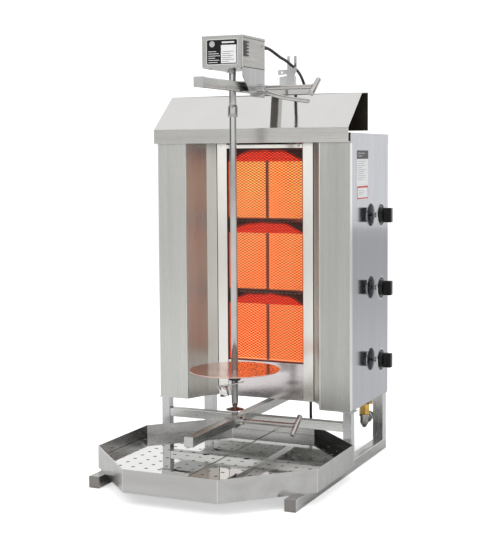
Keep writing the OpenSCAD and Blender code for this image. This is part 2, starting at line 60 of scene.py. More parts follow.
def mm(x, y, z):
    """A point in the grill's millimetres: x from the spit, y from the column fronts, z from the counter."""
    return DATUM + Vector((x, y, z)) * MM


def own(point):
    """A point of the frame in the grill's own millimetres."""
    return (Vector(point) - DATUM) / MM


def span(node):
    """Lowest and highest corner of a CAD node in the grill's own millimetres."""
    low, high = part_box(node)
    return own(low), own(high)


SPIT_Y = (span("spit")[0].y + span("spit")[1].y) / 2


def keep(name, data):
    """A new object in the scene."""
    piece = bpy.data.objects.new(name, data)
    bpy.context.scene.collection.objects.link(piece)
    return piece


# ---- camera


CAMERA_AT = (1124.3, -2443.2, 704.1)
CAMERA_YAW, CAMERA_PITCH, CAMERA_ROLL = (math.radians(a) for a in (23.27, 4.02, -0.26))
CAMERA_SETTINGS = {"sensor_width": 36, "lens": 77.34, "shift_x": -0.056, "shift_y": -0.0628, "clip_end": 50}


def make_camera():
    """The camera that sees the grill as in the main view."""
    data = bpy.data.cameras.new("camera")
    for key, value in CAMERA_SETTINGS.items():
        setattr(data, key, value)
    camera = keep("camera", data)
    turn = Matrix.Rotation(CAMERA_YAW, 4, "Z") @ Matrix.Rotation(math.pi / 2 - CAMERA_PITCH, 4, "X")
    turn = turn @ Matrix.Rotation(CAMERA_ROLL, 4, "Z")
    camera.matrix_world = Matrix.Translation(mm(*CAMERA_AT)) @ turn
    bpy.context.scene.camera = camera


make_camera()

# ---- mesh helpers


def from_faces(name, points, faces):
    """A piece from points in the frame and faces, smooth except where it turns by over SHARP degrees."""
    mesh = bpy.data.meshes.new(name)
    mesh.from_pydata([tuple(p) for p in points], [], faces)
    mesh.polygons.foreach_set("use_smooth", [True] * len(mesh.polygons))
    mesh.set_sharp_from_angle(angle=math.radians(SHARP))
    mesh.validate()
    return keep(name, mesh)


def rounded(piece, width, steps=2, slot=-1):
    """Rounds a piece's edges by width millimetres; slot picks the material of the rounded edges."""
    bevel = piece.modifiers.new("edges", "BEVEL")
    bevel.material = slot
    bevel.width = width * MM
    bevel.segments = steps
    bevel.limit_method = "ANGLE"
    bevel.angle_limit = math.radians(40)
    bevel.harden_normals = True
    return piece


def finish_node(node, material, width, edges=None):
    """Gives a CAD node welded vertices, rounded edges, a material and perhaps one for its edges."""
    piece = nodes[node]
    weld = piece.modifiers.new("weld", "WELD")
    weld.merge_threshold = 0.00001
    if node == "side_panel_right":
        # The long thin triangles between this panel's holes would show as lines in its shine.
        flat = piece.modifiers.new("flat", "DECIMATE")
        flat.decimate_type = "DISSOLVE"
        flat.angle_limit = math.radians(1)
    if width:
        rounded(piece, width, slot=1 if edges else -1)
    piece.data.materials.clear()
    piece.data.materials.append(material)
    if edges:
        piece.data.materials.append(edges)


def joined(name, parts):
    """One piece from several, each a (points, faces) pair."""
    points, faces = [], []
    for more_points, more_faces in parts:
        start = len(points)
        points += more_points
        faces += [[start + i for i in face] for face in more_faces]
    return from_faces(name, points, faces)


def block_parts(low, high):
    """Points and faces of a box between two corners, in the grill's millimetres."""
    xs, ys, zs = zip(low, high)
    points = [mm(x, y, z) for z in zs for y in ys for x in xs]
    faces = [(0, 2, 3, 1), (4, 5, 7, 6), (0, 1, 5, 4), (2, 6, 7, 3), (0, 4, 6, 2), (1, 3, 7, 5)]
    return points, faces


def sweep_parts(path, radius, sides, taper=None):
    """Points and faces of a round tube along a path. taper gives each ring's share of the radius."""
    path = [Vector(p) for p in path]
    points, faces = [], []
    last = len(path) - 1
    side = None
    for i, p in enumerate(path):
        along = (path[min(i + 1, last)] - path[max(i - 1, 0)]).normalized()
        if side is None:
            side = along.orthogonal().normalized()
        side = (side - along * side.dot(along)).normalized()
        other = along.cross(side)
        size = radius * (taper[i] if taper else 1)
        for k in range(sides):
            a = 2 * math.pi * k / sides
            points.append(p + size * (math.cos(a) * side + math.sin(a) * other))
    for i in range(last):
        for k in range(sides):
            j = (k + 1) % sides
            faces.append((i * sides + k, i * sides + j, (i + 1) * sides + j, (i + 1) * sides + k))
    faces.append(tuple(reversed(range(sides))))
    faces.append(tuple(last * sides + k for k in range(sides)))
    return points, faces


def lathe_parts(profile, base, axis, sides=48):
    """Points and faces of a turned piece. profile lists (radius, height) and may be a closed loop."""
    axis = Vector(axis).normalized()
    side = axis.orthogonal().normalized()
    other = axis.cross(side)
    base = Vector(base)
    ring = profile[0] == profile[-1]
    rows = profile[:-1] if ring else profile
    points, faces, starts = [], [], []
    for radius, height in rows:
        starts.append(len(points))
        if radius == 0:
            points.append(base + axis * height * MM)
            continue
        for k in range(sides):
            a = 2 * math.pi * k / sides
            out = math.cos(a) * side + math.sin(a) * other
            points.append(base + axis * height * MM + radius * MM * out)
    pairs = list(zip(range(len(rows)), range(1, len(rows))))
    if ring:
        pairs.append((len(rows) - 1, 0))
    for a, b in pairs:
        for k in range(sides):
            j = (k + 1) % sides
            low = [starts[a]] if rows[a][0] == 0 else [starts[a] + k, starts[a] + j]
            high = [starts[b]] if rows[b][0] == 0 else [starts[b] + j, starts[b] + k]
            if len(low) + len(high) > 2:
                faces.append(tuple(low + high))
    return points, faces


def lathe(name, profile, base, axis, sides=48):
    """A turned piece."""
    points, faces = lathe_parts(profile, base, axis, sides)
    return from_faces(name, points, faces)


def outline_piece(name, outline, holes, thick, frame_of, edge=0.0):
    """A flat sheet cut to an outline with round holes, laid out by the matrix frame_of."""
    curve = bpy.data.curves.new(name, "CURVE")
    curve.dimensions = "2D"
    curve.fill_mode = "BOTH"
    curve.extrude = (thick / 2 - edge) * MM
    curve.bevel_depth = edge * MM
    curve.bevel_resolution = 1
    curve.offset = -edge * MM
    loops = [outline]
    for x, y, r, sides in holes:
        turn = [2 * math.pi * k / sides for k in range(sides)]
        loops.append([(x + r * math.cos(a), y + r * math.sin(a)) for a in turn])
    for loop in loops:
        spline = curve.splines.new("POLY")
        spline.points.add(len(loop) - 1)
        for point, (x, y) in zip(spline.points, loop):
            point.co = (x * MM, y * MM, 0, 1)
        spline.use_cyclic_u = True
    bare = bpy.data.objects.new(name, curve)
    mesh = bpy.data.meshes.new_from_object(bare)
    bpy.data.objects.remove(bare)
    bpy.data.curves.remove(curve)
    mesh.transform(frame_of)
    whole = bmesh.new()
    whole.from_mesh(mesh)
    bmesh.ops.remove_doubles(whole, verts=whole.verts, dist=1e-6)
    bmesh.ops.recalc_face_normals(whole, faces=whole.faces)
    whole.to_mesh(mesh)
    whole.free()
    return keep(name, mesh)


def rounded_rectangle(x0, x1, y0, y1, r):
    """Outline of a rectangle with round corners."""
    corners = [(x1 - r, y0 + r, -90), (x1 - r, y1 - r, 0), (x0 + r, y1 - r, 90), (x0 + r, y0 + r, 180)]
    turns = [22.5 * k for k in range(5)]
    return [
        (x + r * math.cos(math.radians(start + turn)), y + r * math.sin(math.radians(start + turn)))
        for x, y, start in corners
        for turn in turns
    ]


def upright_sheet(name, outline, y, thick, edge=0.0):
    """A sheet that stands with its back at y, its outline drawn as (x, z)."""
    lay = Matrix.Translation(mm(0, y - thick / 2, 0)) @ Matrix.Rotation(math.pi / 2, 4, "X")
    return outline_piece(name, outline, [], thick, lay, edge)


def dress(piece, material, body=None, slot=None, replaces=()):
    """Gives a piece its material, body and the CAD nodes that it stands for; slot is not used."""
    piece.data.materials.clear()
    piece.data.materials.append(material)
    if body:
        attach(piece, body)
    if replaces:
        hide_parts(*replaces)
    return piece


def solid(name, parts, material, body, slot, replaces=(), edge=0.0, steps=2):
    """A dressed piece from several parts, with its edges rounded by edge millimetres."""
    piece = joined(name, parts)
    if edge:
        rounded(piece, edge, steps)
    return dress(piece, material, body, slot, replaces)


def paint(piece, material, is_inside):
    """Gives another material to the faces whose centre and normal pass the test."""
    mesh = piece.data
    mesh.materials.append(material)
    for face in mesh.polygons:
        if is_inside(own(face.center), face.normal):
            face.material_index = len(mesh.materials) - 1


def mirrored(x0, x1, low, high):
    """A block between x0 and x1 on either side of the middle; low and high are its (y, z) corners."""
    blocks = []
    for side in (-1, 1):
        a, b = sorted((side * x0, side * x1))
        blocks.append(block_parts((a, *low), (b, *high)))
    return blocks


MOTOR = ("motor_carriage", "motor_steel")
MOTOR_BLACK = ("motor_carriage", "black_plastic")

# ---- material helpers


class Nodes:
    """Short ways to build a node tree."""

    def __init__(self, tree):
        self.tree = tree

    def feed(self, socket, value):
        """Links an input to an output, or sets it. A colour is given as three numbers."""
        if isinstance(value, bpy.types.NodeSocket):
            self.tree.links.new(value, socket)
        elif isinstance(value, tuple) and socket.type == "RGBA":
            socket.default_value = (*value, 1)
        else:
            socket.default_value = value

    def node(self, kind, inputs=None, **settings):
        """A new node with its settings and its inputs."""
        made = self.tree.nodes.new(kind)
        for key, value in settings.items():
            setattr(made, key, value)
        for key, value in (inputs or {}).items():
            self.feed(made.inputs[key], value)
        return made

    def math(self, operation, a, b=None):
        """The result of one sum, of values or outputs."""
        made = self.node("ShaderNodeMath", operation=operation)
        for socket, value in zip(made.inputs, (a, b)):
            if value is not None:
                self.feed(socket, value)
        return made.outputs["Value"]

    def ramp(self, value, low, high, start=0.0, end=1.0):
        """Maps a value between start and end to a number between low and high."""
        inputs = {"Value": value, "From Min": start, "From Max": end, "To Min": low, "To Max": high}
        return self.node("ShaderNodeMapRange", inputs).outputs["Result"]

    def camera_ray(self):
        """1 where the camera looks straight at the surface."""
        return self.node("ShaderNodeLightPath").outputs["Is Camera Ray"]


class Shading(Nodes):
    """A Principled material, with its procedural inputs in the frame's metres."""

    def __init__(self, name, color, metallic=0.0, roughness=0.5, **constants):
        self.material = bpy.data.materials.new(name)
        self.material.use_nodes = True
        super().__init__(self.material.node_tree)
        self.shader = self.tree.nodes["Principled BSDF"]
        self.put("Base Color", color)
        self.put("Metallic", metallic)
        self.put("Roughness", roughness)
        for key, value in constants.items():
            self.put(key.replace("_", " "), value)

    def put(self, name, value):
        """Sets or links one of the shader's inputs."""
        self.feed(self.shader.inputs[name], value)

    def place(self, stretch=(1, 1, 1)):
        """Object coordinates, stretched."""
        where = self.node("ShaderNodeTexCoord").outputs["Object"]
        return self.node("ShaderNodeMapping", {"Scale": stretch, "Vector": where}).outputs["Vector"]

    def axis(self, letter):
        """One of the object coordinates, in metres."""
        return self.node("ShaderNodeSeparateXYZ", {"Vector": self.place()}).outputs[letter]

    def noise(self, scale, detail=3.0, roughness=0.5, stretch=(1, 1, 1)):
        """Noise between 0 and 1."""
        inputs = {"Scale": scale, "Detail": detail, "Roughness": roughness, "Vector": self.place(stretch)}
        return self.node("ShaderNodeTexNoise", inputs).outputs["Fac"]

    def mix(self, share, first, second):
        """A colour between two, each a colour or an output."""
        made = self.node("ShaderNodeMix", {"Factor": share}, data_type="RGBA")
        for name, value in (("A", first), ("B", second)):
            self.feed(next(s for s in made.inputs if s.name == name and s.type == "RGBA"), value)
        return next(s for s in made.outputs if s.type == "RGBA")

    def stops(self, value, places):
        """A colour ramp through (position, colour) stops."""
        made = self.node("ShaderNodeValToRGB", {"Fac": value})
        stops = made.color_ramp.elements
        for i, (position, color) in enumerate(places):
            stop = stops[i] if i < 2 else stops.new(position)
            stop.position = position
            stop.color = (*color, 1)
        return made.outputs["Color"]

    def tint(self, value, start, end, first, second, most=1):
        """Colours the base from first towards second as a value rises from start to end."""
        self.put("Base Color", self.mix(self.ramp(value, 0, most, start, end), first, second))

    def polish(self, *layers):
        """Makes the roughness a sum of ramps, each given as (value, low, high, start, end)."""
        total = self.ramp(*layers[0])
        for layer in layers[1:]:
            total = self.math("ADD", total, self.ramp(*layer))
        self.put("Roughness", total)

    def bump(self, height, distance):
        """Relief of a height that varies by distance metres."""
        made = self.node("ShaderNodeBump", {"Distance": distance, "Strength": 1.0, "Height": height})
        self.put("Normal", made.outputs["Normal"])


def shaded(color, factor):
    """A colour made lighter or darker."""
    return tuple(min(1, c * factor) for c in color)


def brushed_steel(name, color, grain, rough=(0.2, 0.34), streak=0.1, turn=0.0):
    """Sheet or tube brushed along one axis: fine grain, soft streaks, smudges and a faint waviness."""
    look = Shading(name, color, metallic=1.0, Anisotropic=0.45, Anisotropic_Rotation=turn)
    fine, broad = (tuple(along if letter == grain else 1 for letter in "XYZ") for along in (0.012, 0.03))
    scratch = look.noise(1100, 2, stretch=fine)
    band = look.ramp(look.noise(42, 3, 0.6, stretch=broad), 0, 1, 0.3, 0.7)
    smudge = look.noise(7, 4, 0.6)
    tone = look.mix(band, shaded(color, 1 - streak), shaded(color, 1 + streak * 0.6))
    look.tint(smudge, 0.5, 0.8, tone, shaded(color, 0.86), 0.35)
    look.polish((scratch, *rough, 0.3, 0.7), (smudge, 0, 0.07, 0.4, 0.8))
    look.bump(look.math("ADD", look.math("MULTIPLY", scratch, 0.02), look.noise(5, 1)), 0.00012)
    return look.material


def mirror_steel(name, color, rough=(0.05, 0.12), haze=0.08):
    """Bright annealed sheet: nearly a mirror, with slow waves, a haze of wiping marks and fine scratches."""
    look = Shading(name, color, metallic=1.0)
    wipe = look.noise(9, 5, 0.65, stretch=(1, 1, 0.35))
    hair = look.noise(900, 2, stretch=(0.02, 1, 0.3))
    look.tint(wipe, 0.35, 0.75, color, shaded(color, 1 - haze))
    look.polish((wipe, *rough, 0.3, 0.75), (hair, 0, 0.03, 0.6, 0.8))
    look.bump(look.noise(3.5, 1, stretch=(1, 1, 0.6)), 0.0004)
    return look.material


def turned_steel(name, color, rough):
    """Rods and shafts with fine turning marks across their length."""
    look = Shading(name, color, metallic=1.0, Anisotropic=0.3)
    marks = look.noise(1700, 1, stretch=(0.05, 0.05, 1))
    patch = look.noise(30, 4, 0.6)
    look.tint(patch, 0.3, 0.75, shaded(color, 1.04), shaded(color, 0.9))
    look.polish((marks, *rough, 0.3, 0.7), (patch, 0, 0.08, 0.4, 0.8))
    look.bump(marks, 0.00002)
    return look.material


def moulded(name, color, roughness, grain=0.00003, coat=0.0, shine=0.4):
    """Moulded plastic or rubber with a fine skin texture and slightly worn high spots."""
    inputs = {"Coat_Weight": coat, "Coat_Roughness": 0.08, "Specular_IOR_Level": shine}
    look = Shading(name, color, roughness=roughness, **inputs)
    wear = look.noise(26, 4, 0.6)
    look.tint(wear, 0.55, 0.8, color, tuple(c * 1.5 + 0.002 for c in color))
    look.polish((wear, roughness - 0.05, roughness + 0.08, 0.3, 0.75))
    look.bump(look.noise(1600, 3), grain)
    return look.material


def cast_metal(name, color, roughness, grain=0.0001):
    """Cast or forged metal, slightly lumpy, with uneven tone."""
    look = Shading(name, color, metallic=1.0, roughness=roughness)
    tone = look.noise(35, 4, 0.6)
    look.tint(tone, 0.3, 0.75, shaded(color, 1.1), shaded(color, 0.72))
    look.polish((tone, roughness - 0.08, roughness + 0.12, 0.3, 0.75))
    look.bump(look.noise(260, 4, 0.6), grain)
    return look.material


def shaded_hood_steel(name):
    """Inside of the hood: near-black steel with uneven brown tones from noise, as painted shade."""
    look = Shading(name, (0.09, 0.08, 0.07), metallic=0.85, roughness=0.5)
    cloud = look.noise(11, 5, 0.65)
    tones = [(0.25, (0.035, 0.032, 0.03)), (0.5, (0.09, 0.075, 0.06)), (0.75, (0.2, 0.17, 0.14))]
    look.put("Base Color", look.stops(cloud, tones))
    look.polish((cloud, 0.55, 0.3, 0.3, 0.8))
    look.bump(look.noise(180, 3), 0.0002)
    return look.material


def radius_from_spit(look):
    """Distance from the spit's axis, in metres."""
    x = look.math("SUBTRACT", look.axis("X"), mm(0, 0, 0).x)
    y = look.math("SUBTRACT", look.axis("Y"), mm(0, SPIT_Y, 0).y)
    return look.math("SQRT", look.math("ADD", look.math("MULTIPLY", x, x), look.math("MULTIPLY", y, y)))


def tempered_steel(name):
    """The drip disc at the spit's foot, blued and browned in rings by heat."""
    look = Shading(name, (0.4, 0.27, 0.22), metallic=1.0, roughness=0.3)
    radius = look.math("ADD", radius_from_spit(look), look.math("MULTIPLY", look.noise(60, 3), 0.004))
    share = look.ramp(radius, 0, 1, 0.005, 0.024)
    tones = [(0.0, (0.34, 0.2, 0.16)), (0.45, (0.24, 0.09, 0.075))]
    tones += [(0.75, (0.16, 0.06, 0.06)), (1.0, (0.3, 0.15, 0.13))]
    look.put("Base Color", look.stops(share, tones))
    look.polish((look.noise(90, 3), 0.22, 0.42, 0.3, 0.7))
    return look.material


def ringed_steel(name, color):
    """The meat plate: bright sheet with faint turned rings."""
    look = Shading(name, color, metallic=1.0, Anisotropic=0.6)
    rings = look.math("SINE", look.math("MULTIPLY", radius_from_spit(look), 5200))
    haze = look.noise(14, 5, 0.6)
    look.tint(haze, 0.35, 0.75, color, shaded(color, 0.88))
    look.polish((rings, 0.14, 0.2, -1, 1), (haze, 0, 0.08, 0.4, 0.75))
    look.bump(rings, 0.000004)
    return look.material


PORT_PITCH = 0.0026
TILE_GLOW = 2.05


def glowing_ceramic(name, top_z):
    """Infrared tile: orange-hot face with rows of fine ports; the top pair burns yellower."""
    look = Shading(name, (0.9, 0.6, 0.4), roughness=0.8)
    heat = look.noise(13, 3, 0.6, stretch=(1, 1, 1.4))
    height = look.ramp(look.axis("Z"), 0, 1, 0.35, top_z)
    warm = look.math("ADD", look.math("MULTIPLY", heat, 0.5), look.math("MULTIPLY", height, 0.55))
    tones = [(0.2, (1.0, 0.17, 0.03)), (0.55, (1.0, 0.22, 0.04)), (0.9, (1.0, 0.31, 0.05))]
    waves = [look.math("SINE", look.math("MULTIPLY", look.axis(a), 2 * math.pi / PORT_PITCH)) for a in "XZ"]
    ports = look.ramp(look.math("MULTIPLY", *waves), 0.82, 1.12, -0.6, 0.6)
    look.put("Emission Color", look.stops(warm, tones))
    look.put("Emission Strength", look.math("MULTIPLY", ports, TILE_GLOW))
    look.put("Base Color", look.mix(look.noise(40, 3), (0.95, 0.7, 0.5), (0.85, 0.5, 0.3)))
    return look.material


def painted_glow_plate(name, centre_x, half, first_z, pitch, tall):
    """Sloping steel over a burner: a dome of painted red glow in its middle, standing in for the burner's
    light on it, with painted shade towards its top corners.
    """
    look = Shading(name, (0.06, 0.045, 0.04), metallic=0.9, roughness=0.45)
    across = look.math("ABSOLUTE", look.math("SUBTRACT", look.axis("X"), centre_x))
    limit = look.math("SUBTRACT", 0.92, look.math("POWER", look.math("DIVIDE", across, half), 3))
    above = look.math("MODULO", look.math("SUBTRACT", look.axis("Z"), first_z), pitch)
    depth = look.math("SUBTRACT", limit, look.math("DIVIDE", above, tall))
    uneven = look.math("ADD", depth, look.ramp(look.noise(35, 3), -0.08, 0.08, 0.3, 0.7))
    tones = [(0.0, (0.01, 0.004, 0.004)), (0.35, (0.25, 0.012, 0.008)), (0.8, (1.0, 0.045, 0.02))]
    look.put("Emission Color", look.stops(look.ramp(uneven, 0, 1, -0.12, 0.25), tones))
    look.put("Emission Strength", 1.5)
    look.put("Base Color", look.mix(look.noise(50, 4), (0.1, 0.07, 0.065), (0.04, 0.03, 0.03)))
    return look.material


def housing_painted_glow(name):
    """Rims of the burner housings round the tiles, glowing dully: a painted glow standing in for the tiles'
    light on them.
    """
    look = Shading(name, (0.3, 0.22, 0.23), metallic=0.9, roughness=0.5, Emission_Strength=0.55)
    heat = look.noise(60, 3)
    look.put("Emission Color", look.mix(heat, (0.3, 0.1, 0.09), (0.5, 0.16, 0.12)))
    look.put("Base Color", look.mix(heat, (0.34, 0.25, 0.27), (0.2, 0.14, 0.15)))
    return look.material


def hot_mesh(name):
    """Expanded metal, scaled brown-grey by heat."""
    look = Shading(name, (0.1, 0.05, 0.04), metallic=0.9, roughness=0.5)
    scale = look.noise(120, 4, 0.6)
    look.put("Base Color", look.mix(scale, (0.12, 0.06, 0.045), (0.05, 0.025, 0.02)))
    look.polish((scale, 0.35, 0.6, 0.3, 0.7))
    look.bump(scale, 0.00005)
    return look.material


def printed(name, color, roughness=0.4, shine=0.4):
    """Printed foil of a label, with a faint grain."""
    look = Shading(name, color, roughness=roughness, Specular_IOR_Level=shine)
    grain = look.noise(700, 3)
    look.tint(grain, 0.3, 0.8, color, shaded(color, 0.85), 0.4)
    look.bump(grain, 0.00001)
    return look.material


FRAME_STEEL = brushed_steel("frame_steel", (0.6, 0.6, 0.585), "Y")
ARM_STEEL = brushed_steel("arm_steel", (0.52, 0.52, 0.5), "Y")
UPPER_ARM_STEEL = brushed_steel("upper_arm_steel", (0.59, 0.59, 0.57), "Y")
UPRIGHT_STEEL = brushed_steel("upright_steel", (0.66, 0.67, 0.665), "Z")
# The cross tubes get a much lighter copy of the frame steel: a painted highlight.
CROSS_STEEL_LIT = brushed_steel("cross_steel_painted_highlight", (0.82, 0.82, 0.8), "X")
# The two front columns are one steel in two copies: the left lighter as if lit, the right darker as painted
# shade.
COLUMN_LIT = brushed_steel("column_steel_left_lit", (0.66, 0.66, 0.635), "Z", rough=(0.24, 0.38), streak=0.07)
COLUMN_SHADED = brushed_steel("column_steel_right_shaded", (0.53, 0.53, 0.505), "Z", rough=(0.24, 0.38), streak=0.07)
SIDE_STEEL = brushed_steel("side_steel", (0.51, 0.525, 0.56), "Z", rough=(0.07, 0.13), streak=0.05)
COVER_STEEL = brushed_steel("cover_steel", (0.46, 0.46, 0.44), "X")
TRAY_STEEL = brushed_steel("tray_steel", (0.53, 0.525, 0.515), "X", rough=(0.14, 0.24), turn=0.25)
MOTOR_STEEL = brushed_steel("motor_steel", (0.6, 0.59, 0.57), "Y", rough=(0.24, 0.4))
# Darker copy of the arm steel: painted shade for the upper arm's underside and the low tube caps.
ARM_UNDER_SHADE = brushed_steel("arm_underside_painted_shade", (0.3, 0.28, 0.265), "Y", rough=(0.3, 0.45))
FASCIA_STEEL = brushed_steel("fascia_steel", (0.59, 0.58, 0.555), "X")
CHEEK_STEEL = brushed_steel("cheek_steel", (0.53, 0.53, 0.53), "Z", rough=(0.2, 0.3))
# Dark copy of the steel: painted shade on the shelf under each tile.
SHADED_SHELF_STEEL = brushed_steel("shelf_steel_painted_shade", (0.25, 0.23, 0.22), "X", rough=(0.3, 0.45))
# Orange-tinted mirror steel: a painted reflection of the glowing tiles.
SIDE_GLOW = mirror_steel("side_glow", (0.85, 0.32, 0.2), rough=(0.1, 0.2))
# Near-black steel used only as painted shade: the tray's inner wall, the plate's underside and hub, the left
# insert seam and the motor box's gap lines.
PAINTED_SHADE_STEEL = brushed_steel("painted_shade_steel", (0.06, 0.06, 0.06), "Y", rough=(0.35, 0.5))
# Near-white steel used as painted highlight: on rounded edges, column sides and folds, knob rims and the
# right insert seam.
EDGE_HIGHLIGHT_STEEL = mirror_steel("edge_highlight_steel", (0.9, 0.9, 0.89), rough=(0.12, 0.2))
BRIGHT_STEEL = mirror_steel("bright_steel", (0.78, 0.78, 0.77))
CHANNEL_STEEL = mirror_steel("channel_steel", (0.93, 0.91, 0.86), rough=(0.14, 0.22))
REFLECTOR_STEEL = brushed_steel("reflector_steel", (0.69, 0.67, 0.62), "Z", rough=(0.26, 0.36), streak=0.04)
LOWER_STEEL = brushed_steel("lower_steel", (0.78, 0.73, 0.73), "X", rough=(0.1, 0.16))
HOOD_STEEL = mirror_steel("hood_steel", (0.71, 0.7, 0.69), rough=(0.05, 0.1), haze=0.05)
INSERT_STEEL = mirror_steel("insert_steel", (0.8, 0.8, 0.79), rough=(0.02, 0.06), haze=0.06)
SHAFT_STEEL = turned_steel("shaft_steel", (0.6, 0.6, 0.59), rough=(0.08, 0.16))
CLAMP_STEEL = turned_steel("clamp_steel", (0.58, 0.555, 0.54), rough=(0.1, 0.2))
# The plate steel's warm reddish colour is a painted reflection of the burners' glow.
GLOW_TINTED_PLATE_STEEL = ringed_steel("plate_steel", (0.86, 0.62, 0.56))
DISC_STEEL = tempered_steel("disc_steel")
HOOD_INSIDE_SHADE = shaded_hood_steel("hood_inside_shade")
BRASS = cast_metal("brass", (0.86, 0.55, 0.15), roughness=0.24, grain=0.00004)
COPPER = cast_metal("copper", (0.72, 0.36, 0.22), roughness=0.3, grain=0.00002)
NICKEL = cast_metal("nickel", (0.5, 0.48, 0.45), roughness=0.16, grain=0.00003)
CASTING = cast_metal("casting", (0.22, 0.22, 0.23), roughness=0.55, grain=0.0003)
HOUSING_STEEL = cast_metal("housing_steel", (0.45, 0.35, 0.39), roughness=0.5)
BLACK = moulded("black", (0.005, 0.005, 0.0055), roughness=0.14, coat=0.15, shine=0.25)
RUBBER = moulded("rubber", (0.012, 0.012, 0.013), roughness=0.45, grain=0.00005)
FOIL_BLACK = printed("foil_black", (0.006, 0.006, 0.008), 0.2, 0.25)
FOIL_WHITE = printed("foil_white", (0.8, 0.8, 0.8))
FOIL_GREY = printed("foil_grey", (0.35, 0.35, 0.37))
FOIL_SILVER = printed("foil_silver", (0.45, 0.45, 0.45), 0.3)
FOIL_RED = printed("foil_red", (0.6, 0.05, 0.05))
HOUSING_PAINTED_GLOW = housing_painted_glow("housing_painted_glow")
GUARD = hot_mesh("guard_metal")

# ---- mains lead

CORD_R = 3.5
GLAND_END = (44, -11, 947.5)
CORD_ROUTE = [
    GLAND_END, (44, 2, 947.3), (44.5, 16, 945), (46, 32, 940.5), (46, 50, 936.5), (46, 68, 932.5),
    (46, 88, 929.5), (45.5, 108, 926), (44.5, 127, 922), (43.5, 145, 918), (41.5, 163, 915),
    (39, 182, 911.5), (36.5, 200, 907), (34, 217, 901.5), (31.5, 233, 894.5), (29.5, 248, 885.5),
    (28.5, 262, 873), (28.5, 273, 857), (29, 281, 838), (29.5, 286, 815),
    *((30, 288, z) for z in range(790, 89, -50)), (30, 288, 60), (30, 289.5, 44), (30, 293.5, 29.5),
    (30, 300.5, 17), (30, 310.5, 8.5), (30, 322, 4.7),
]
COIL_MID = (-15, 335)
COIL_IN = 30
COIL_PITCH = 7.5
COIL_TURNS = 2
COIL_LEVELS = (3.6, 10.7)
TURN_STEPS = 28


def coil_points():
    """The wound stretch: inwards on the counter, a short climb, then outwards over it."""
    climb, back = 0.25, 2.25
    total = COIL_TURNS + climb + back
    points = []
    for i in range(round(total * TURN_STEPS) + 1):
        turns = i / TURN_STEPS
        if turns <= COIL_TURNS:
            r, z = COIL_IN + COIL_PITCH * (COIL_TURNS - turns), COIL_LEVELS[0]
        elif turns <= COIL_TURNS + climb:
            share = (turns - COIL_TURNS) / climb
            rise = (COIL_LEVELS[1] - COIL_LEVELS[0]) * share * share * (3 - 2 * share)
            r, z = COIL_IN, COIL_LEVELS[0] + rise
        else:
            r, z = COIL_IN + COIL_PITCH * (turns - COIL_TURNS - climb), COIL_LEVELS[1]
        a = 2 * math.pi * turns
        points.append((COIL_MID[0] + r * math.cos(a), COIL_MID[1] + r * math.sin(a), z))
    return points


PLUG_LOW, PLUG_HIGH = span("mains_plug")
PLUG_X = (PLUG_LOW.x + PLUG_HIGH.x) / 2
PLUG_Z = (PLUG_LOW.z + PLUG_HIGH.z) / 2
PLUG_BACK = PLUG_HIGH.y


def smooth(points, steps):
    """A Catmull-Rom curve through the points."""
    points = [Vector(p) for p in points]
    out = []
    last = len(points) - 1
    for i in range(last):
        a, b, c, d = points[max(i - 1, 0)], points[i], points[i + 1], points[min(i + 2, last)]
        for s in range(steps):
            t = s / steps
            bend, twist = 2 * a - 5 * b + 4 * c - d, 3 * b - a - 3 * c + d
            out.append(0.5 * (2 * b + (c - a) * t + bend * t * t + twist * t ** 3))
    out.append(points[last])
    return out


def make_cord():
    """The lead from the gland to the plug, with its path and its length."""
    tail = [(PLUG_X, PLUG_BACK + 12, 13.2), (PLUG_X, PLUG_BACK + 2, 17.2), (PLUG_X, PLUG_BACK - 6, PLUG_Z)]
    path = [mm(*p) for p in smooth(CORD_ROUTE + coil_points() + tail, 3)]
    length = sum((b - a).length for a, b in zip(path, path[1:]))
    points, faces = sweep_parts(path, CORD_R * MM, 12)
    cord = from_faces("power_lead", points, faces)
    dress(cord, RUBBER, slot="cord_rubber", replaces=("power_cord", "cord_coil"))
    return cord, path, length


cord, cord_path, cord_length = make_cord()
print("cord length", round(cord_length, 3))


def make_plug():
    """Round two-pin plug on its side: ribbed relief, rimmed body and two pins."""
    base = mm(PLUG_X, PLUG_BACK, PLUG_Z)
    forward = (0, -1, 0)
    relief = [(0, 0), (4.4, 0), (5, 1)]
    for k in range(5):
        rib = ((5.2, 0), (5.6, 0.8), (5.6, 2.6), (4.6, 3.1), (4.6, 4))
        relief += [(r + 0.4 * k, 3 + 4.4 * k + up) for r, up in rib]
    body = [(7, 26), (11, 26.6), (12.4, 28), (14.5, 31), (17, 33.5), (17.9, 36), (17.9, 44), (16.8, 46)]
    body += [(16.8, 54), (17.9, 56), (17.9, 64.6), (16.9, 66), (0, 66)]
    parts = [lathe_parts(relief + body, base, forward)]
    for x in (-9.5, 9.5):
        pin = [(0, 65.5), (2.4, 65.5), (2.4, 83.5), (1.6, 85), (0, 85)]
        parts.append(lathe_parts(pin, base + Vector((x * MM, 0, 0)), forward, 20))
    plug = solid("lead_plug", parts, RUBBER, "grill_body", "cord_rubber", ["mains_plug"])
    paint(plug, NICKEL, lambda p, n: p.y < PLUG_BACK - 66.2)
    return plug


def make_gland():
    """Nut and ribbed relief where the lead leaves the motor box."""
    low, high = span("cord_gland")
    base = mm(GLAND_END[0], low.y, GLAND_END[2])
    nut = [(0, 0), (6.3, 0), (7, 0.6), (7, 4.2), (6.3, 5)]
    relief = nut + [(5.8, 5.2)]
    for k in range(5):
        start, r = 5.6 + 3.5 * k, 5.6 - 0.3 * k
        relief += [(r, start), (r, start + 1.6), (r - 0.8, start + 2), (r - 0.9, start + 3)]
    relief += [(4.2, high.y - low.y - 0.3), (3.6, high.y - low.y), (0, high.y - low.y)]
    gland = lathe("lead_gland", relief, base, (0, 1, 0), 32)
    return dress(gland, BLACK, *MOTOR_BLACK, ["cord_gland"])


plug = make_plug()
make_gland()
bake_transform(cord)

# ---- CAD nodes kept, with their materials

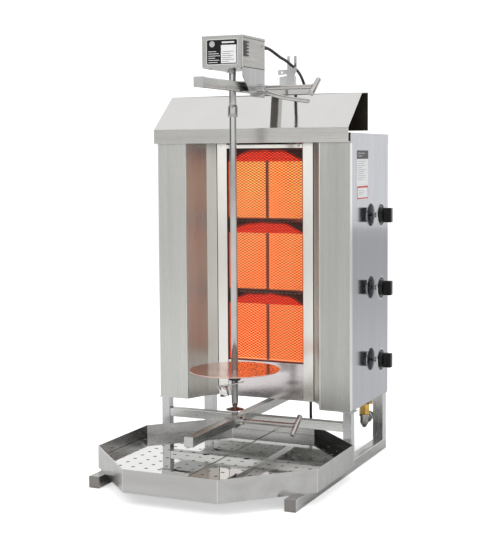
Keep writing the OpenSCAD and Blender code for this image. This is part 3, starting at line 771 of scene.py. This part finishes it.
# Each row is a material, the width of its rounded edges and the nodes that have both.
EDGED = [
    (FRAME_STEEL, 1.2, "skid_rails arm_receiver"), (UPRIGHT_STEEL, 1.2, "uprights mast_tube"),
    (CROSS_STEEL_LIT, 1.2, "cross_tubes"), (ARM_STEEL, 1.2, "lower_arm"), (UPPER_ARM_STEEL, 1.2, "upper_arm"),
    (COLUMN_LIT, 1.0, "column_left"), (COLUMN_SHADED, 1.0, "column_right"), (COVER_STEEL, 0.5, "top_cover"),
    (SIDE_STEEL, 0.5, "side_panel_left side_panel_right"), (HOOD_STEEL, 0.5, "hood"),
    (CHANNEL_STEEL, 0.4, "guard_channels"), (TRAY_STEEL, 0.5, "drip_tray"),
    (FRAME_STEEL, 0.6, "spit_saddle"), (MOTOR_STEEL, 0.6, "motor_box"), (CHEEK_STEEL, 0.5, "motor_bracket"),
]
TILE_LOW, TILE_HIGH = span("ceramic_tiles")
TILE_H = 132
PITCH = (TILE_HIGH.z - TILE_LOW.z - TILE_H) / 2
PLATE_LOW, PLATE_HIGH = span("burner_deflectors")
PLATE_TALL = PLATE_HIGH.z - PLATE_LOW.z - 2 * PITCH
CERAMIC = glowing_ceramic("glowing_tile", TILE_HIGH.z * MM)
PAINTED_GLOW_PLATE = painted_glow_plate(
    "painted_glow_plate", DATUM.x, PLATE_HIGH.x * MM, (TILE_LOW.z + TILE_H + 1) * MM, PITCH * MM, PLATE_TALL * MM,
)
PLAIN = [
    (FRAME_STEEL, 1.0, "tube_caps"), (FRAME_STEEL, 0.3, "upright_flanges"), (SIDE_STEEL, 0.3, "rear_panel"),
    (UPRIGHT_STEEL, 0.5, "cable_fork"), (COVER_STEEL, 0.3, "bottom_panel"),
    (LOWER_STEEL, 0.5, "lower_panel"),
    (REFLECTOR_STEEL, 0.3, "reflector_left reflector_right"), (HOUSING_STEEL, 0.6, "burner_housings"),
    (COVER_STEEL, 0.4, "gas_manifold"), (BRASS, 0.8, "gas_valves inlet_block"), (COPPER, 0, "feed_pipes"),
    (SHAFT_STEEL, 0.4, "foot_bearing"), (CASTING, 1.0, "gear_motor"), (CERAMIC, 0.8, "ceramic_tiles"),
    (SHAFT_STEEL, 0.5, "valve_spindle_low valve_spindle_mid valve_spindle_top drive_shaft"),
    (PAINTED_GLOW_PLATE, 0.2, "burner_deflectors"),
]

# The rounded edges of the EDGED nodes take the edge highlight steel, a painted highlight.
for rows, edges in ((EDGED, EDGE_HIGHLIGHT_STEEL), (PLAIN, None)):
    for material, width, names in rows:
        for node in names.split():
            finish_node(node, material, width, edges)

HOUSING_FRONT = span("burner_housings")[0].y
INSIDES = [
    # Painted shade inside the hood: its undersides and its inward-facing faces.
    ("hood", HOOD_INSIDE_SHADE, lambda p, n: (n.z < -0.3) or (n.y < -0.5 and p.y > 60) or (n.y > 0.5 and p.y < -10)),
    ("hood", FASCIA_STEEL, lambda p, n: n.y < -0.9 and p.y < 0 and p.z < 772),
    # Painted glow on the housing fronts round the tiles.
    ("burner_housings", HOUSING_PAINTED_GLOW, lambda p, n: n.y < -0.9 and p.y < HOUSING_FRONT + 1),
    # Painted shade: the inner wall on the tray's right half, facing front-left, is made near-black.
    ("drip_tray", PAINTED_SHADE_STEEL, lambda p, n: n.x < -0.5 and n.y < -0.5 and p.x > 0),
    # Painted highlight on the columns' side faces.
    ("column_left", EDGE_HIGHLIGHT_STEEL, lambda p, n: abs(n.x) > 0.9),
    ("column_right", EDGE_HIGHLIGHT_STEEL, lambda p, n: abs(n.x) > 0.9),
    ("top_cover", SIDE_STEEL, lambda p, n: abs(n.x) > 0.9),
    # Painted shade on the low parts of the tube caps and on the upper arm's underside.
    ("tube_caps", ARM_UNDER_SHADE, lambda p, n: p.z < 40),
    ("upper_arm", ARM_UNDER_SHADE, lambda p, n: n.z < -0.7),
    # Painted shade: a dark band at the top of each burner step of the deflectors.
    ("burner_deflectors", SHADED_SHELF_STEEL, lambda p, n: (p.z - TILE_LOW.z) % PITCH > PITCH - 9),
]
for node, material, is_inside in INSIDES:
    paint(nodes[node], material, is_inside)

# ---- guard

DIAMOND_W = 10.6
DIAMOND_H = 6.3
STRAND_W = 1.85
STRAND_T = 1.1


def make_guard():
    """Expanded metal: zigzag strands that meet at their bends, inside a narrow rim."""
    low, high = span("guard_mesh")
    mid_y = (low.y + high.y) / 2
    bends = round((high.x - low.x - 2) / (DIAMOND_W / 2))
    rows = int((high.z - low.z - 6) / DIAMOND_H)
    step = (high.x - low.x - 2) / bends
    rise = DIAMOND_H / 2 - STRAND_W / 2
    first_z = (low.z + high.z) / 2 - DIAMOND_H * (rows - 1) / 2
    points, faces = [], []
    for row in range(2 * rows - 1):
        z0 = first_z + row * DIAMOND_H / 2
        flip = 1 if row % 2 else -1
        start = len(points)
        for i in range(bends + 1):
            x = low.x + 1 + i * step
            z = z0 + flip * (rise if i % 2 else -rise) / 2
            lean = 0.35 * flip * (1 if i % 2 else -1)
            for dy, dz in ((-1, -1), (1, -1), (1, 1), (-1, 1)):
                points.append(mm(x, mid_y + dy * STRAND_T / 2 + lean * 0.5, z + dz * STRAND_W / 2))
        for i in range(bends):
            a, b = start + 4 * i, start + 4 * (i + 1)
            for k in range(4):
                j = (k + 1) % 4
                faces.append((a + k, b + k, b + j, a + j))
        faces.append((start, start + 1, start + 2, start + 3))
        end = start + 4 * bends
        faces.append((end + 3, end + 2, end + 1, end))
    rim = [
        block_parts((low.x, low.y, low.z), (low.x + 2, high.y, high.z)),
        block_parts((high.x - 2, low.y, low.z), (high.x, high.y, high.z)),
        block_parts((low.x, low.y, low.z), (high.x, high.y, low.z + 2)),
        block_parts((low.x, low.y, high.z - 2), (high.x, high.y, high.z)),
    ]
    solid("expanded_guard", [(points, faces)] + rim, GUARD, "grill_body", "guard_steel", ["guard_mesh"])


def make_glow_sides():
    """Two upright mirror strips beside the burners, tinted orange as a painted reflection of the hot tiles.
    """
    low, high = span("guard_mesh")
    strips = mirrored(high.x + 0.3, high.x - 0.35, (high.y + 0.2, low.z), (TILE_LOW.y - 0.3, high.z))
    solid("glow_sides", strips, SIDE_GLOW, "grill_body", "guard_steel", edge=0.1)


make_guard()
make_glow_sides()

# ---- tray inserts

HOLE_PITCH = 31.7
HOLE_FIRST_X = 19.2
HOLE_ROW = -133.2
HOLE_R = 3.9


def make_insert(side):
    """Half of the tray floor: a mirror-bright sheet with drain holes and a finger hole, on folded legs."""
    node = "insert_left" if side < 0 else "insert_right"
    low, high = span(node)
    mid_y = (low.y + high.y) / 2
    half = (high.y - low.y) / 2
    cut = half * math.tan(math.radians(22.5))
    seam = low.x if side > 0 else -high.x
    outline = [(seam, -half), (cut, -half), (half, -cut), (half, cut), (cut, half), (seam, half)]
    finger = (50, 3, 7.5, 28)
    holes = [finger]
    for i in range(8):
        for j in range(-6, 6):
            x = HOLE_FIRST_X + HOLE_PITCH * i
            y = HOLE_ROW + HOLE_PITCH * j - mid_y
            inside = x < half - 12 and abs(y) < half - 12 and x + abs(y) < (half + cut) - 17
            if inside and math.hypot(x - finger[0], y - finger[1]) > 14:
                holes.append((x, y, HOLE_R, 14))
    thick = 1.5
    flip = Matrix.Scale(side, 4, (1, 0, 0))
    lay = Matrix.Translation(mm(0, mid_y, high.z - thick / 2)) @ flip
    sheet = outline_piece(f"perforated_{node}", outline, holes, thick, lay, edge=0.25)
    legs = []
    for x, ys in ((4, (-150, 0, 150)), (225, (-80, 80))):
        for y in ys:
            a, b = sorted((side * x, side * (x + thick)))
            legs.append(block_parts((a, mid_y + y - 12, low.z), (b, mid_y + y + 12, high.z - thick - 0.02)))
    solid(f"legs_{node}", legs, INSERT_STEEL, node, "tray_steel", edge=0.3)
    a, b = sorted((side * 0.5, side * 2.5))
    fold = block_parts((a, mid_y - half + 2, high.z - 0.6), (b, mid_y + half - 2, high.z + 0.5))
    # Seam fold: painted shadow on the left half, painted highlight on the right half.
    seam_paint = PAINTED_SHADE_STEEL if side < 0 else EDGE_HIGHLIGHT_STEEL
    solid(f"seam_{node}", [fold], seam_paint, node, "tray_steel", edge=0.3)
    dress(sheet, INSERT_STEEL, node, "tray_steel", [node])


make_insert(-1)
make_insert(1)

# ---- spit line

SPIT_LINE = mm(0, SPIT_Y, 0)
UP = (0, 0, 1)


def make_spit():
    """Spit with its foot pin, taper and spigot."""
    low, high = span("spit")
    r = (high.x - low.x) / 2
    profile = [
        (0, low.z), (3.4, low.z), (4.5, low.z + 1.2), (4.5, 149), (5.2, 149.4), (r - 0.6, 158.4), (r, 159.4),
        (r, 796), (r - 0.8, 797), (4.9, 797), (4.9, high.z - 1), (4.1, high.z), (0, high.z),
    ]
    spit = lathe("spit_rod", profile, SPIT_LINE, UP, 64)
    dress(spit, SHAFT_STEEL, "spit", "shaft_steel", ["spit"])


def make_coupler():
    """Sleeve between the spit and the drive shaft."""
    low, high = span("coupler_sleeve")
    r = (high.x - low.x) / 2
    bore = 8.4
    profile = [
        (bore, low.z + 0.4), (bore + 0.4, low.z), (r - 1, low.z), (r - 0.3, low.z + 0.5), (r, low.z + 1.6),
        (r, high.z - 5), (r - 0.25, high.z - 4), (r - 1.3, high.z - 0.5), (r - 1.7, high.z),
        (bore + 0.3, high.z), (bore, high.z - 0.4), (bore, low.z + 0.4),
    ]
    sleeve = lathe("coupler", profile, SPIT_LINE, UP, 56)
    dress(sleeve, CLAMP_STEEL, "coupler", "shaft_steel", ["coupler_sleeve"])


def make_plate():
    """Round plate that carries the meat, with painted shade on its underside and hub."""
    low, high = span("meat_plate")
    r = (high.x - low.x) / 2
    top = high.z
    profile = [
        (8, low.z + 0.5), (8.5, low.z), (12.3, low.z), (13, low.z + 0.7), (13, top - 3.2), (13.8, top - 2.2),
        (14.6, top - 2), (r - 0.7, top - 2), (r, top - 1.4), (r, top - 0.6), (r - 0.6, top), (8.6, top),
        (8, top - 0.5), (8, low.z + 0.5),
    ]
    plate = lathe("turning_plate", profile, SPIT_LINE, UP, 128)
    dress(plate, GLOW_TINTED_PLATE_STEEL, "meat_plate", "plate_steel", ["meat_plate"])
    # Painted shade on every face below the plate's top sheet.
    paint(plate, PAINTED_SHADE_STEEL, lambda p, n: p.z < top - 2.3)


def make_drip_disc():
    """Heat-tinted disc round the foot of the spit."""
    low, high = span("drip_disc")
    z, r = low.z + 0.5, (high.x - low.x) / 2
    profile = [
        (5.3, z), (7, z), (r - 0.4, z - 0.5), (r, z - 0.2), (r - 0.1, z + 0.5), (14, z + 2.1), (8.6, z + 4),
        (7.4, z + 4.4), (5.3, z + 4.4), (5.3, z),
    ]
    disc = lathe("tempered_disc", profile, SPIT_LINE, UP, 64)
    dress(disc, DISC_STEEL, "lower_carriage", "heat_tinted_steel", ["drip_disc"])


def make_lock():
    """Tilted lock plate with a turned grip and a bent-down tab, under the meat plate."""
    tilt = Matrix.Translation(mm(0, SPIT_Y, 202)) @ Matrix.Rotation(math.radians(-13.5), 4, "Y")
    outline = [(-40, 8), (-39.3, 9.5), (-38, 10), (-38, -10), (-39.3, -9.5), (-40, -8)]
    turns = [math.radians(90 - 15 * k) for k in range(13)]
    outline[3:3] = [(12 + 10 * math.cos(a), 10 * math.sin(a)) for a in turns]
    plate = outline_piece("lock_plate", outline, [(0, 0, 8.5, 32)], 2.5, tilt, edge=0.3)
    dress(plate, SHAFT_STEEL, "plate_lock", "clamp_steel", ["plate_lock"])
    grip = [(0, -24), (10.4, -24), (11.2, -23.6), (11.5, -22.8)]
    grip += [(11.5, -2.4), (11, -1.6), (10, -1.2), (0, -1.2)]
    handle = lathe("lock_grip", grip, tilt @ Vector((-0.03, 0, 0)), tilt.to_3x3() @ Vector(UP), 48)
    dress(handle, BRIGHT_STEEL, "plate_lock", "clamp_steel")
    points, faces = block_parts((-13, -10, -21), (-8.4, -7.5, 1))
    tab = from_faces("lock_tab", [tilt @ (p - DATUM) for p in points], faces)
    rounded(tab, 0.4)
    dress(tab, CLAMP_STEEL, "plate_lock", "clamp_steel")


make_spit()
make_coupler()
make_plate()
make_drip_disc()
make_lock()

# ---- clamp screws and pull handle

BAR_LEAN = math.radians(37)


def make_clamp(body, carriage, nut_x):
    """Rod with a threaded start and a leaning cross bar with round ends, and the nut on its carriage."""
    node = f"{body}_screw"
    low, high = span(node)
    mid = (low + high) / 2
    bar_x = high.x - 6
    start = low.x
    base = mm(0, mid.y, mid.z)
    rod = [(0, start), (4, start), (5, start + 1)]
    pitch, depth = 1.5, 0.45
    x = start + 1.5
    while x < nut_x + 2:
        rod += [(5 - depth, x), (5, x + pitch / 2)]
        x += pitch
    rod += [(5, x), (5, bar_x - 6.5), (6.4, bar_x - 5.6), (6.8, bar_x - 4.5), (6.8, bar_x)]
    rod += [(0, bar_x)]
    parts = [lathe_parts(rod, base, (1, 0, 0), 36)]
    slant = Vector((0, math.cos(BAR_LEAN), math.sin(BAR_LEAN)))
    half, r = 28, 6
    turns = (0.5, 1.0, math.pi / 2)
    bar = [(0, -half)] + [(r - 2 + 2 * math.sin(a), -half + 2 - 2 * math.cos(a)) for a in (0, *turns)]
    bar += [(r, half - 2)] + [(r - 2 + 2 * math.cos(a), half - 2 + 2 * math.sin(a)) for a in turns]
    bar += [(0, half)]
    parts.append(lathe_parts(bar, mm(bar_x, mid.y, mid.z), slant, 40))
    solid(f"{body}_handle", parts, CLAMP_STEEL, body, "clamp_steel", [node])
    nut = [(5.5, 0), (8.2, 0), (8.8, 0.5), (8.8, 8.4), (8.2, 9), (7, 9.2), (6.6, 8.9), (5.5, 8.9), (5.5, 0)]
    ring = lathe(f"{body}_nut", nut, mm(nut_x - 9, mid.y, mid.z), (1, 0, 0), 40)
    dress(ring, BRIGHT_STEEL, carriage, "frame_steel")


make_clamp("upper_clamp", "motor_carriage", span("motor_bracket")[1].x + 2)
make_clamp("lower_clamp", "lower_carriage", span("spit_saddle")[1].x)


def make_pull_handle():
    """Curved round handle with a domed end."""
    low, high = span("pull_handle")
    x, y = span("motor_box")[1].x, (low.y + high.y) / 2
    route = [(x + 0.5, y, 849.5), (x + 8, y, 848), (x + 20, y, 843.5), (x + 34, y, 839), (x + 50, y, 835.3),
             (x + 72, y, 831.3), (x + 105, y, 826.3)]
    path = smooth(route, 4)
    along = (path[-1] - path[-2]).normalized()
    taper = [1.0] * len(path)
    for a in (0.35, 0.7, 1.05, 1.35, 1.55):
        path.append(Vector(route[-1]) + along * 4.6 * math.sin(a))
        taper.append(math.cos(a))
    bar = sweep_parts([mm(*p) for p in path], 4.8 * MM, 24, taper)
    solid("pull_bar", [bar], SHAFT_STEEL, "motor_carriage", "shaft_steel", ["pull_handle"])


make_pull_handle()

# ---- knobs

BORE_R = 4.4


def bored(piece, profile, base, axis):
    """Cuts a lathed hole out of a finished piece and keeps the result as its mesh."""
    cutter = lathe("bore_cutter", profile, base, axis, 32)
    cut = piece.modifiers.new("bore", "BOOLEAN")
    cut.operation = "DIFFERENCE"
    cut.solver = "EXACT"
    cut.object = cutter
    bpy.context.view_layer.update()
    graph = bpy.context.evaluated_depsgraph_get()
    mesh = bpy.data.meshes.new_from_object(piece.evaluated_get(graph))
    piece.modifiers.clear()
    piece.data = mesh
    bpy.data.objects.remove(cutter)


def make_knob(level):
    """Flange disc with a raised rim, hub and a squared grip, both bored for the spindle, and a bright ring
    on the rim as a painted highlight.
    """
    body = f"burner_knob_{level}"
    low, high = span(body)
    mid = (low + high) / 2
    base = mm(0, mid.y, mid.z)
    x0, r = low.x, (high.z - low.z) / 2
    rim = [(r - 3, 0), (r - 1, 0.5), (r - 0.4, 1.4), (r - 0.4, 2.3), (r - 1, 3)]
    rim += [(r - 2.4, 3.2), (r - 4, 2.7)]
    hub = [(19.5, 2.5), (18.6, 3), (18, 4.4), (17.6, 8.6), (16.6, 9.8), (15, 10.2)]
    flange = [(a, x0 + up) for a, up in [(BORE_R, 0), *rim, *hub, (BORE_R, 10.2), (BORE_R, 0)]]
    disc = lathe_parts(flange, base, (1, 0, 0), 64)
    solid(f"knob_flange_{level}", [disc], BLACK, body, "black_plastic", [body])
    ring = [(1.8, 2.4), (0.9, 0.6), (0.1, 0.8), (0, 1.4), (0.1, 2.5), (1.2, 3.3), (1.8, 3.1), (1.8, 2.4)]
    ring = [(r - inset, x0 + up) for inset, up in ring]
    # The bright ring is a painted highlight on the black rim.
    dress(lathe(f"knob_rim_highlight_{level}", ring, base, (1, 0, 0), 64), EDGE_HIGHLIGHT_STEEL, body, "black_plastic")
    block = block_parts((x0 + 5, mid.y - 7.5, mid.z - 17), (high.x, mid.y + 7.5, mid.z + 17))
    grip = joined(f"knob_grip_{level}", [block])
    rounded(grip, 2.2, 4)
    bored(grip, [(0, x0), (BORE_R, x0), (BORE_R, x0 + 14.2), (0, x0 + 14.2)], base, (1, 0, 0))
    dress(grip, BLACK, body, "black_plastic")


for level in ("low", "mid", "top"):
    make_knob(level)

# ---- gas inlet


def make_elbow():
    """Plated elbow: hexagon with a rounded foot, side branch, nut and threaded end."""
    low, high = span("inlet_elbow")
    block_low, block_high = span("inlet_block")
    x, y = (block_low.x + block_high.x) / 2, (block_low.y + block_high.y) / 2
    axis_z = 76
    foot = [(r, low.z + up) for r, up in ((0, 0), (2.4, 0), (3.6, 0.8), (6.6, 4.8), (9, 8.8), (10.4, 12.5))]
    head = ((10.4, 5), (11, 4.4), (12.8, 4.2), (12.8, 0.3), (0, 0.3))
    foot += [(r, high.z - down) for r, down in head]
    parts = [lathe_parts(foot, mm(x, y, 0), UP, 8)]
    branch = [(0, 6), (7.5, 6), (7.5, 15), (12.4, 15), (13, 16), (13, 24), (12.4, 25), (10.2, 25)]
    thread = []
    at, end = 25.5, 44
    while at < end - 1.5:
        thread += [(9.6, at), (10.4, at + 0.9)]
        at += 1.8
    branch += thread + [(9.6, end - 0.6), (9.2, end), (6, end), (6, end - 12), (0, end - 12)]
    parts.append(lathe_parts(branch, mm(x, y, axis_z), (0, 1, 0), 36))
    solid("gas_elbow", parts, NICKEL, "grill_body", "nickel", ["inlet_elbow"])


make_elbow()

# ---- motor box trim and labels


def screw_parts(at, axis, r=3.6, tall=2.2):
    """A pan-head screw with a recess."""
    head = ((0, 0.55), (0.34, 0.6), (0.38, 1), (0.7, 0.93), (0.93, 0.6), (1, 0), (0, 0))
    return lathe_parts([(r * a, tall * b) for a, b in head], at, axis, 24)


def make_vent():
    """Black comb in the motor box's right side."""
    low, high = span("vent_grille")
    x0, x1 = low.x, high.x
    front = low.y
    teeth = [block_parts((x0, front, low.z), (x1, front + 14, high.z))]
    for i in range(5):
        z = low.z + 1 + 7 * i
        teeth.append(block_parts((x0, front + 13.9, z), (x1 - 0.05, high.y, z + 4)))
    solid("vent_comb", teeth, BLACK, *MOTOR_BLACK, ["vent_grille"], 0.3)


def bars(x0, x1, z_list, y, tall, thick, shares):
    """Printed lines as thin bars, with lengths as shares of the width."""
    return [
        block_parts((x0, y - thick, z), (x0 + (x1 - x0) * share, y, z + tall))
        for z, share in zip(z_list, shares)
    ]


def make_front_label():
    """Front cover of the box with its plain plate: frame, black field, disc, lines, white field."""
    low, high = span("motor_box")
    edge = rounded_rectangle(low.x + 3, high.x - 3, low.z + 0.4, high.z - 3, 3.5)
    cover = upright_sheet("box_front", edge, low.y, 0.9, 0.25)
    dress(cover, MOTOR_STEEL, *MOTOR)
    y = low.y - 0.9
    x0, x1 = low.x + 11, high.x - 11
    z0, z1 = low.z + 4.3, high.z - 7.7
    plate = upright_sheet("label_frame", rounded_rectangle(x0, x1, z0, z1, 4.5), y, 0.5, 0.15)
    dress(plate, BRIGHT_STEEL, *MOTOR)
    inner = rounded_rectangle(x0 + 1.6, x1 - 1.6, z0 + 1.6, z1 - 1.6, 3.2)
    black = upright_sheet("label_field", inner, y - 0.5, 0.12)
    dress(black, FOIL_BLACK, *MOTOR_BLACK)
    y -= 0.62
    split = x0 + (x1 - x0) * 0.47
    tops = [z0 + 5 + 4.6 * k for k in range(6)]
    lines = bars(x0 + 5, split - 3, tops, y, 1.2, 0.1, (0.8, 0.95, 0.6, 1.0, 0.9, 0.7))
    lines += bars(split + 2, x1 - 5, [z1 - 9], y, 3.2, 0.1, (0.9,))
    lines.append(block_parts((split, y - 0.1, z0 + 3.5), (x1 - 3.5, y, z1 - 13)))
    solid("label_print", lines, FOIL_WHITE, *MOTOR)
    round_face = [(0, 0), (6.5, 0), (6.5, 0.12), (0, 0.12)]
    disc = lathe("label_disc", round_face, mm(x0 + 14, y, z1 - 10.5), (0, -1, 0), 40)
    dress(disc, FOIL_SILVER, *MOTOR)
    rows = [z0 + 6.5 + 4.2 * k for k in range(6)]
    small = bars(split + 3, x1 - 6, rows, y - 0.1, 0.8, 0.06, (0.5, 0.9, 0.7, 0.85, 0.6, 0.9))
    solid("label_lines", small, FOIL_BLACK, *MOTOR_BLACK)


def make_side_label():
    """Foil on the right side panel: black head, white field with lines, red-bordered field."""
    x = span("side_panel_right")[1].x
    y0, y1, z0, z1 = 44, 120, 609, 719
    head, foot = z1 - 19, z0 + 30
    fields = [
        ("foil_base", (y0, z0), (y1, z1), 0.12, FOIL_WHITE, "side_steel"),
        ("foil_head", (y0, head), (y1, z1), 0.2, FOIL_BLACK, "black_plastic"),
        ("foil_warning", (y0 + 1, z0 + 1), (y1 - 1, foot), 0.2, FOIL_RED, "black_plastic"),
        ("foil_field", (y0 + 4, z0 + 4), (y1 - 4, foot - 4), 0.28, FOIL_WHITE, "side_steel"),
    ]
    for name, low, high, thick, material, slot in fields:
        solid(name, [block_parts((x, *low), (x + thick, *high))], material, "grill_body", slot)
    prints = [
        ((0.9, 0.7, 0.85, 0.5, 0.92, 0.75, 0.6, 0.88, 0.8, 0.55), head - 6, 4.6, y0 + 6, 60, 0.2, 1.1),
        ((0.7, 0.9, 0.6), foot - 10, 4.4, y0 + 10, 50, 0.36, 0.9),
        ((0.8, 0.5), z1 - 7.5, 6, y0 + 6, 60, 0.28, 2.4),
    ]
    rows = []
    for shares, top, pitch, left, width, thick, tall in prints:
        for k, share in enumerate(shares):
            z = top - pitch * k
            rows.append(block_parts((x, left, z), (x + thick, left + width * share, z + tall)))
    solid("foil_lines", rows, FOIL_GREY, "grill_body", "side_steel")


def make_box_trim():
    """Lid skirt of the motor box, its screws, the screws of the base plate, and thin dark strips of painted
    shadow under the lid skirt and along the box's foot.
    """
    low, high = span("motor_box")
    band = 0.5
    z0 = high.z - 5
    skirt = [
        block_parts((high.x, low.y, z0), (high.x + band, high.y, high.z - 0.4)),
        block_parts((low.x - band, low.y, z0), (low.x, high.y, high.z - 0.4)),
    ]
    solid("lid_skirt", skirt, MOTOR_STEEL, *MOTOR, edge=0.2)
    # Thin near-black strips: painted shadow lines under the lid skirt and along the box's lower edge.
    gap_shadows = [
        block_parts((high.x, low.y, z0 - 1), (high.x + 0.15, high.y, z0)),
        block_parts((low.x - 0.15, low.y, z0 - 1), (low.x, high.y, z0)),
        block_parts((high.x, low.y + 1, low.z - 1.4), (high.x + 0.15, high.y - 1, low.z + 0.2)),
    ]
    solid("box_gap_shadows", gap_shadows, PAINTED_SHADE_STEEL, *MOTOR)
    heads = [screw_parts(mm(high.x, high.y - 12, high.z - 17), (1, 0, 0))]
    heads.append(screw_parts(mm(low.x, high.y - 12, high.z - 17), (-1, 0, 0)))
    for x in (low.x + 12, high.x - 12):
        for y in (low.y + 14, high.y - 14):
            if x < 20 or y < SPIT_Y:
                heads.append(screw_parts(mm(x, y, low.z - 2), (0, 0, -1), 4.5, 3))
    solid("box_screws", heads, BRIGHT_STEEL, *MOTOR)


def make_casing_screws():
    """Screws of the guard rail, the rear panel and the casing's foot plates."""
    rear = span("rear_panel")[1].y
    heads = [screw_parts(mm(x, 73, 730), (0, -1, 0), 2.8, 1.6) for x in (-88, 88)]
    for x in (-228, -80, 80, 228):
        heads += [screw_parts(mm(x, rear, z), (0, 1, 0), 3.4, 0.9) for z in (150, 440, 735)]
    for x in (-234, 234):
        heads += [screw_parts(mm(x, y, 137), (0, 0, -1), 3.4, 2) for y in (45, 205)]
    solid("casing_screws", heads, BRIGHT_STEEL, "grill_body", "casing_steel")


def make_column_fold_highlights():
    """Bright strips along both edges of each front column, where the sheet folds: a painted highlight."""
    low, high = span("column_right")
    folds = []
    for side in (-1, 1):
        for x, out in ((high.x, 1), (low.x, -1)):
            a, b = sorted((side * (x + out * 0.3), side * (x - out * 1.5)))
            folds.append(block_parts((a, low.y - 0.3, low.z + 0.2), (b, low.y + 1.5, high.z - 20)))
    solid("column_fold_highlights", folds, EDGE_HIGHLIGHT_STEEL, "grill_body", "casing_steel", edge=0.7, steps=3)


make_column_fold_highlights()
make_vent()
make_front_label()
make_side_label()
make_box_trim()
make_casing_screws()

# ---- stage


def make_world():
    """White surroundings with two darker sides and a darker belt, which shade rods and rounded edges."""
    world = bpy.data.worlds.new("studio")
    bpy.context.scene.world = world
    world.use_nodes = True
    sky = Nodes(world.node_tree)
    where = sky.node("ShaderNodeTexCoord").outputs["Generated"]
    toward = sky.node("ShaderNodeSeparateXYZ", {"Vector": where}).outputs
    x, y = sky.math("MULTIPLY", toward["X"], 0.916), sky.math("MULTIPLY", toward["Y"], 0.395)
    across = sky.math("ADD", x, y)
    sides = sky.ramp(sky.math("ABSOLUTE", across), 0, 1, 0.79, 0.92)
    height = sky.ramp(sky.math("ABSOLUTE", toward["Z"]), 1, 0, 0.3, 0.6)
    glow = sky.math("SUBTRACT", 1.0, sky.math("MULTIPLY", sky.math("MULTIPLY", sides, height), 0.85))
    rise = sky.ramp(toward["Z"], 0, 1, 0.3, 0.42)
    fall = sky.ramp(toward["Z"], 1, 0, 0.6, 0.76)
    belt = sky.math("SUBTRACT", 1.0, sky.math("MULTIPLY", sky.math("MULTIPLY", rise, fall), 0.6))
    shown = sky.math("MULTIPLY", sky.camera_ray(), 1.2)
    background = sky.tree.nodes["Background"].inputs
    sky.feed(background["Color"], (1, 1, 1))
    sky.feed(background["Strength"], sky.math("MAXIMUM", sky.math("MULTIPLY", glow, belt), shown))


def make_stage():
    """Pale floor, surroundings and three soft lamps."""
    floor = bpy.data.meshes.new("floor")
    size = 9
    corners = [(-size, -size, 0), (size, -size, 0), (size, size, 0), (-size, size, 0)]
    floor.from_pydata(corners, [], [(0, 1, 2, 3)])
    floor_piece = keep("floor", floor)
    floor_piece.location.z = -0.0005
    look = Shading("floor_paint", (0.7, 0.7, 0.7), roughness=0.7)
    look.put("Base Color", look.mix(look.noise(3, 4), (0.71, 0.71, 0.71), (0.69, 0.69, 0.69)))
    look.put("Emission Color", (1, 1, 1))
    look.put("Emission Strength", look.math("MULTIPLY", look.camera_ray(), 0.55))
    floor.materials.append(look.material)
    make_world()

    def area(name, place, target, size, power, color=(1, 1, 1)):
        data = bpy.data.lights.new(name, "AREA")
        data.shape = "RECTANGLE"
        data.size, data.size_y = size
        data.energy = power
        data.color = color
        lamp = keep(name, data)
        lamp.location = place
        lamp.visible_glossy = False
        lamp.rotation_euler = (Vector(target) - Vector(place)).to_track_quat("-Z", "Y").to_euler()

    area("key", (-1.6, -2.4, 2.6), (0, 0, 0.4), (1.8, 1.8), 45)
    area("fill", (2.8, -1.2, 1.6), (0, 0, 0.45), (1.6, 2.0), 22, (0.93, 0.96, 1.0))
    area("top", (0, 0.4, 3.0), (0, 0, 0), (2.2, 2.2), 30)
    bpy.context.scene.view_settings.view_transform = "Standard"


make_stage()
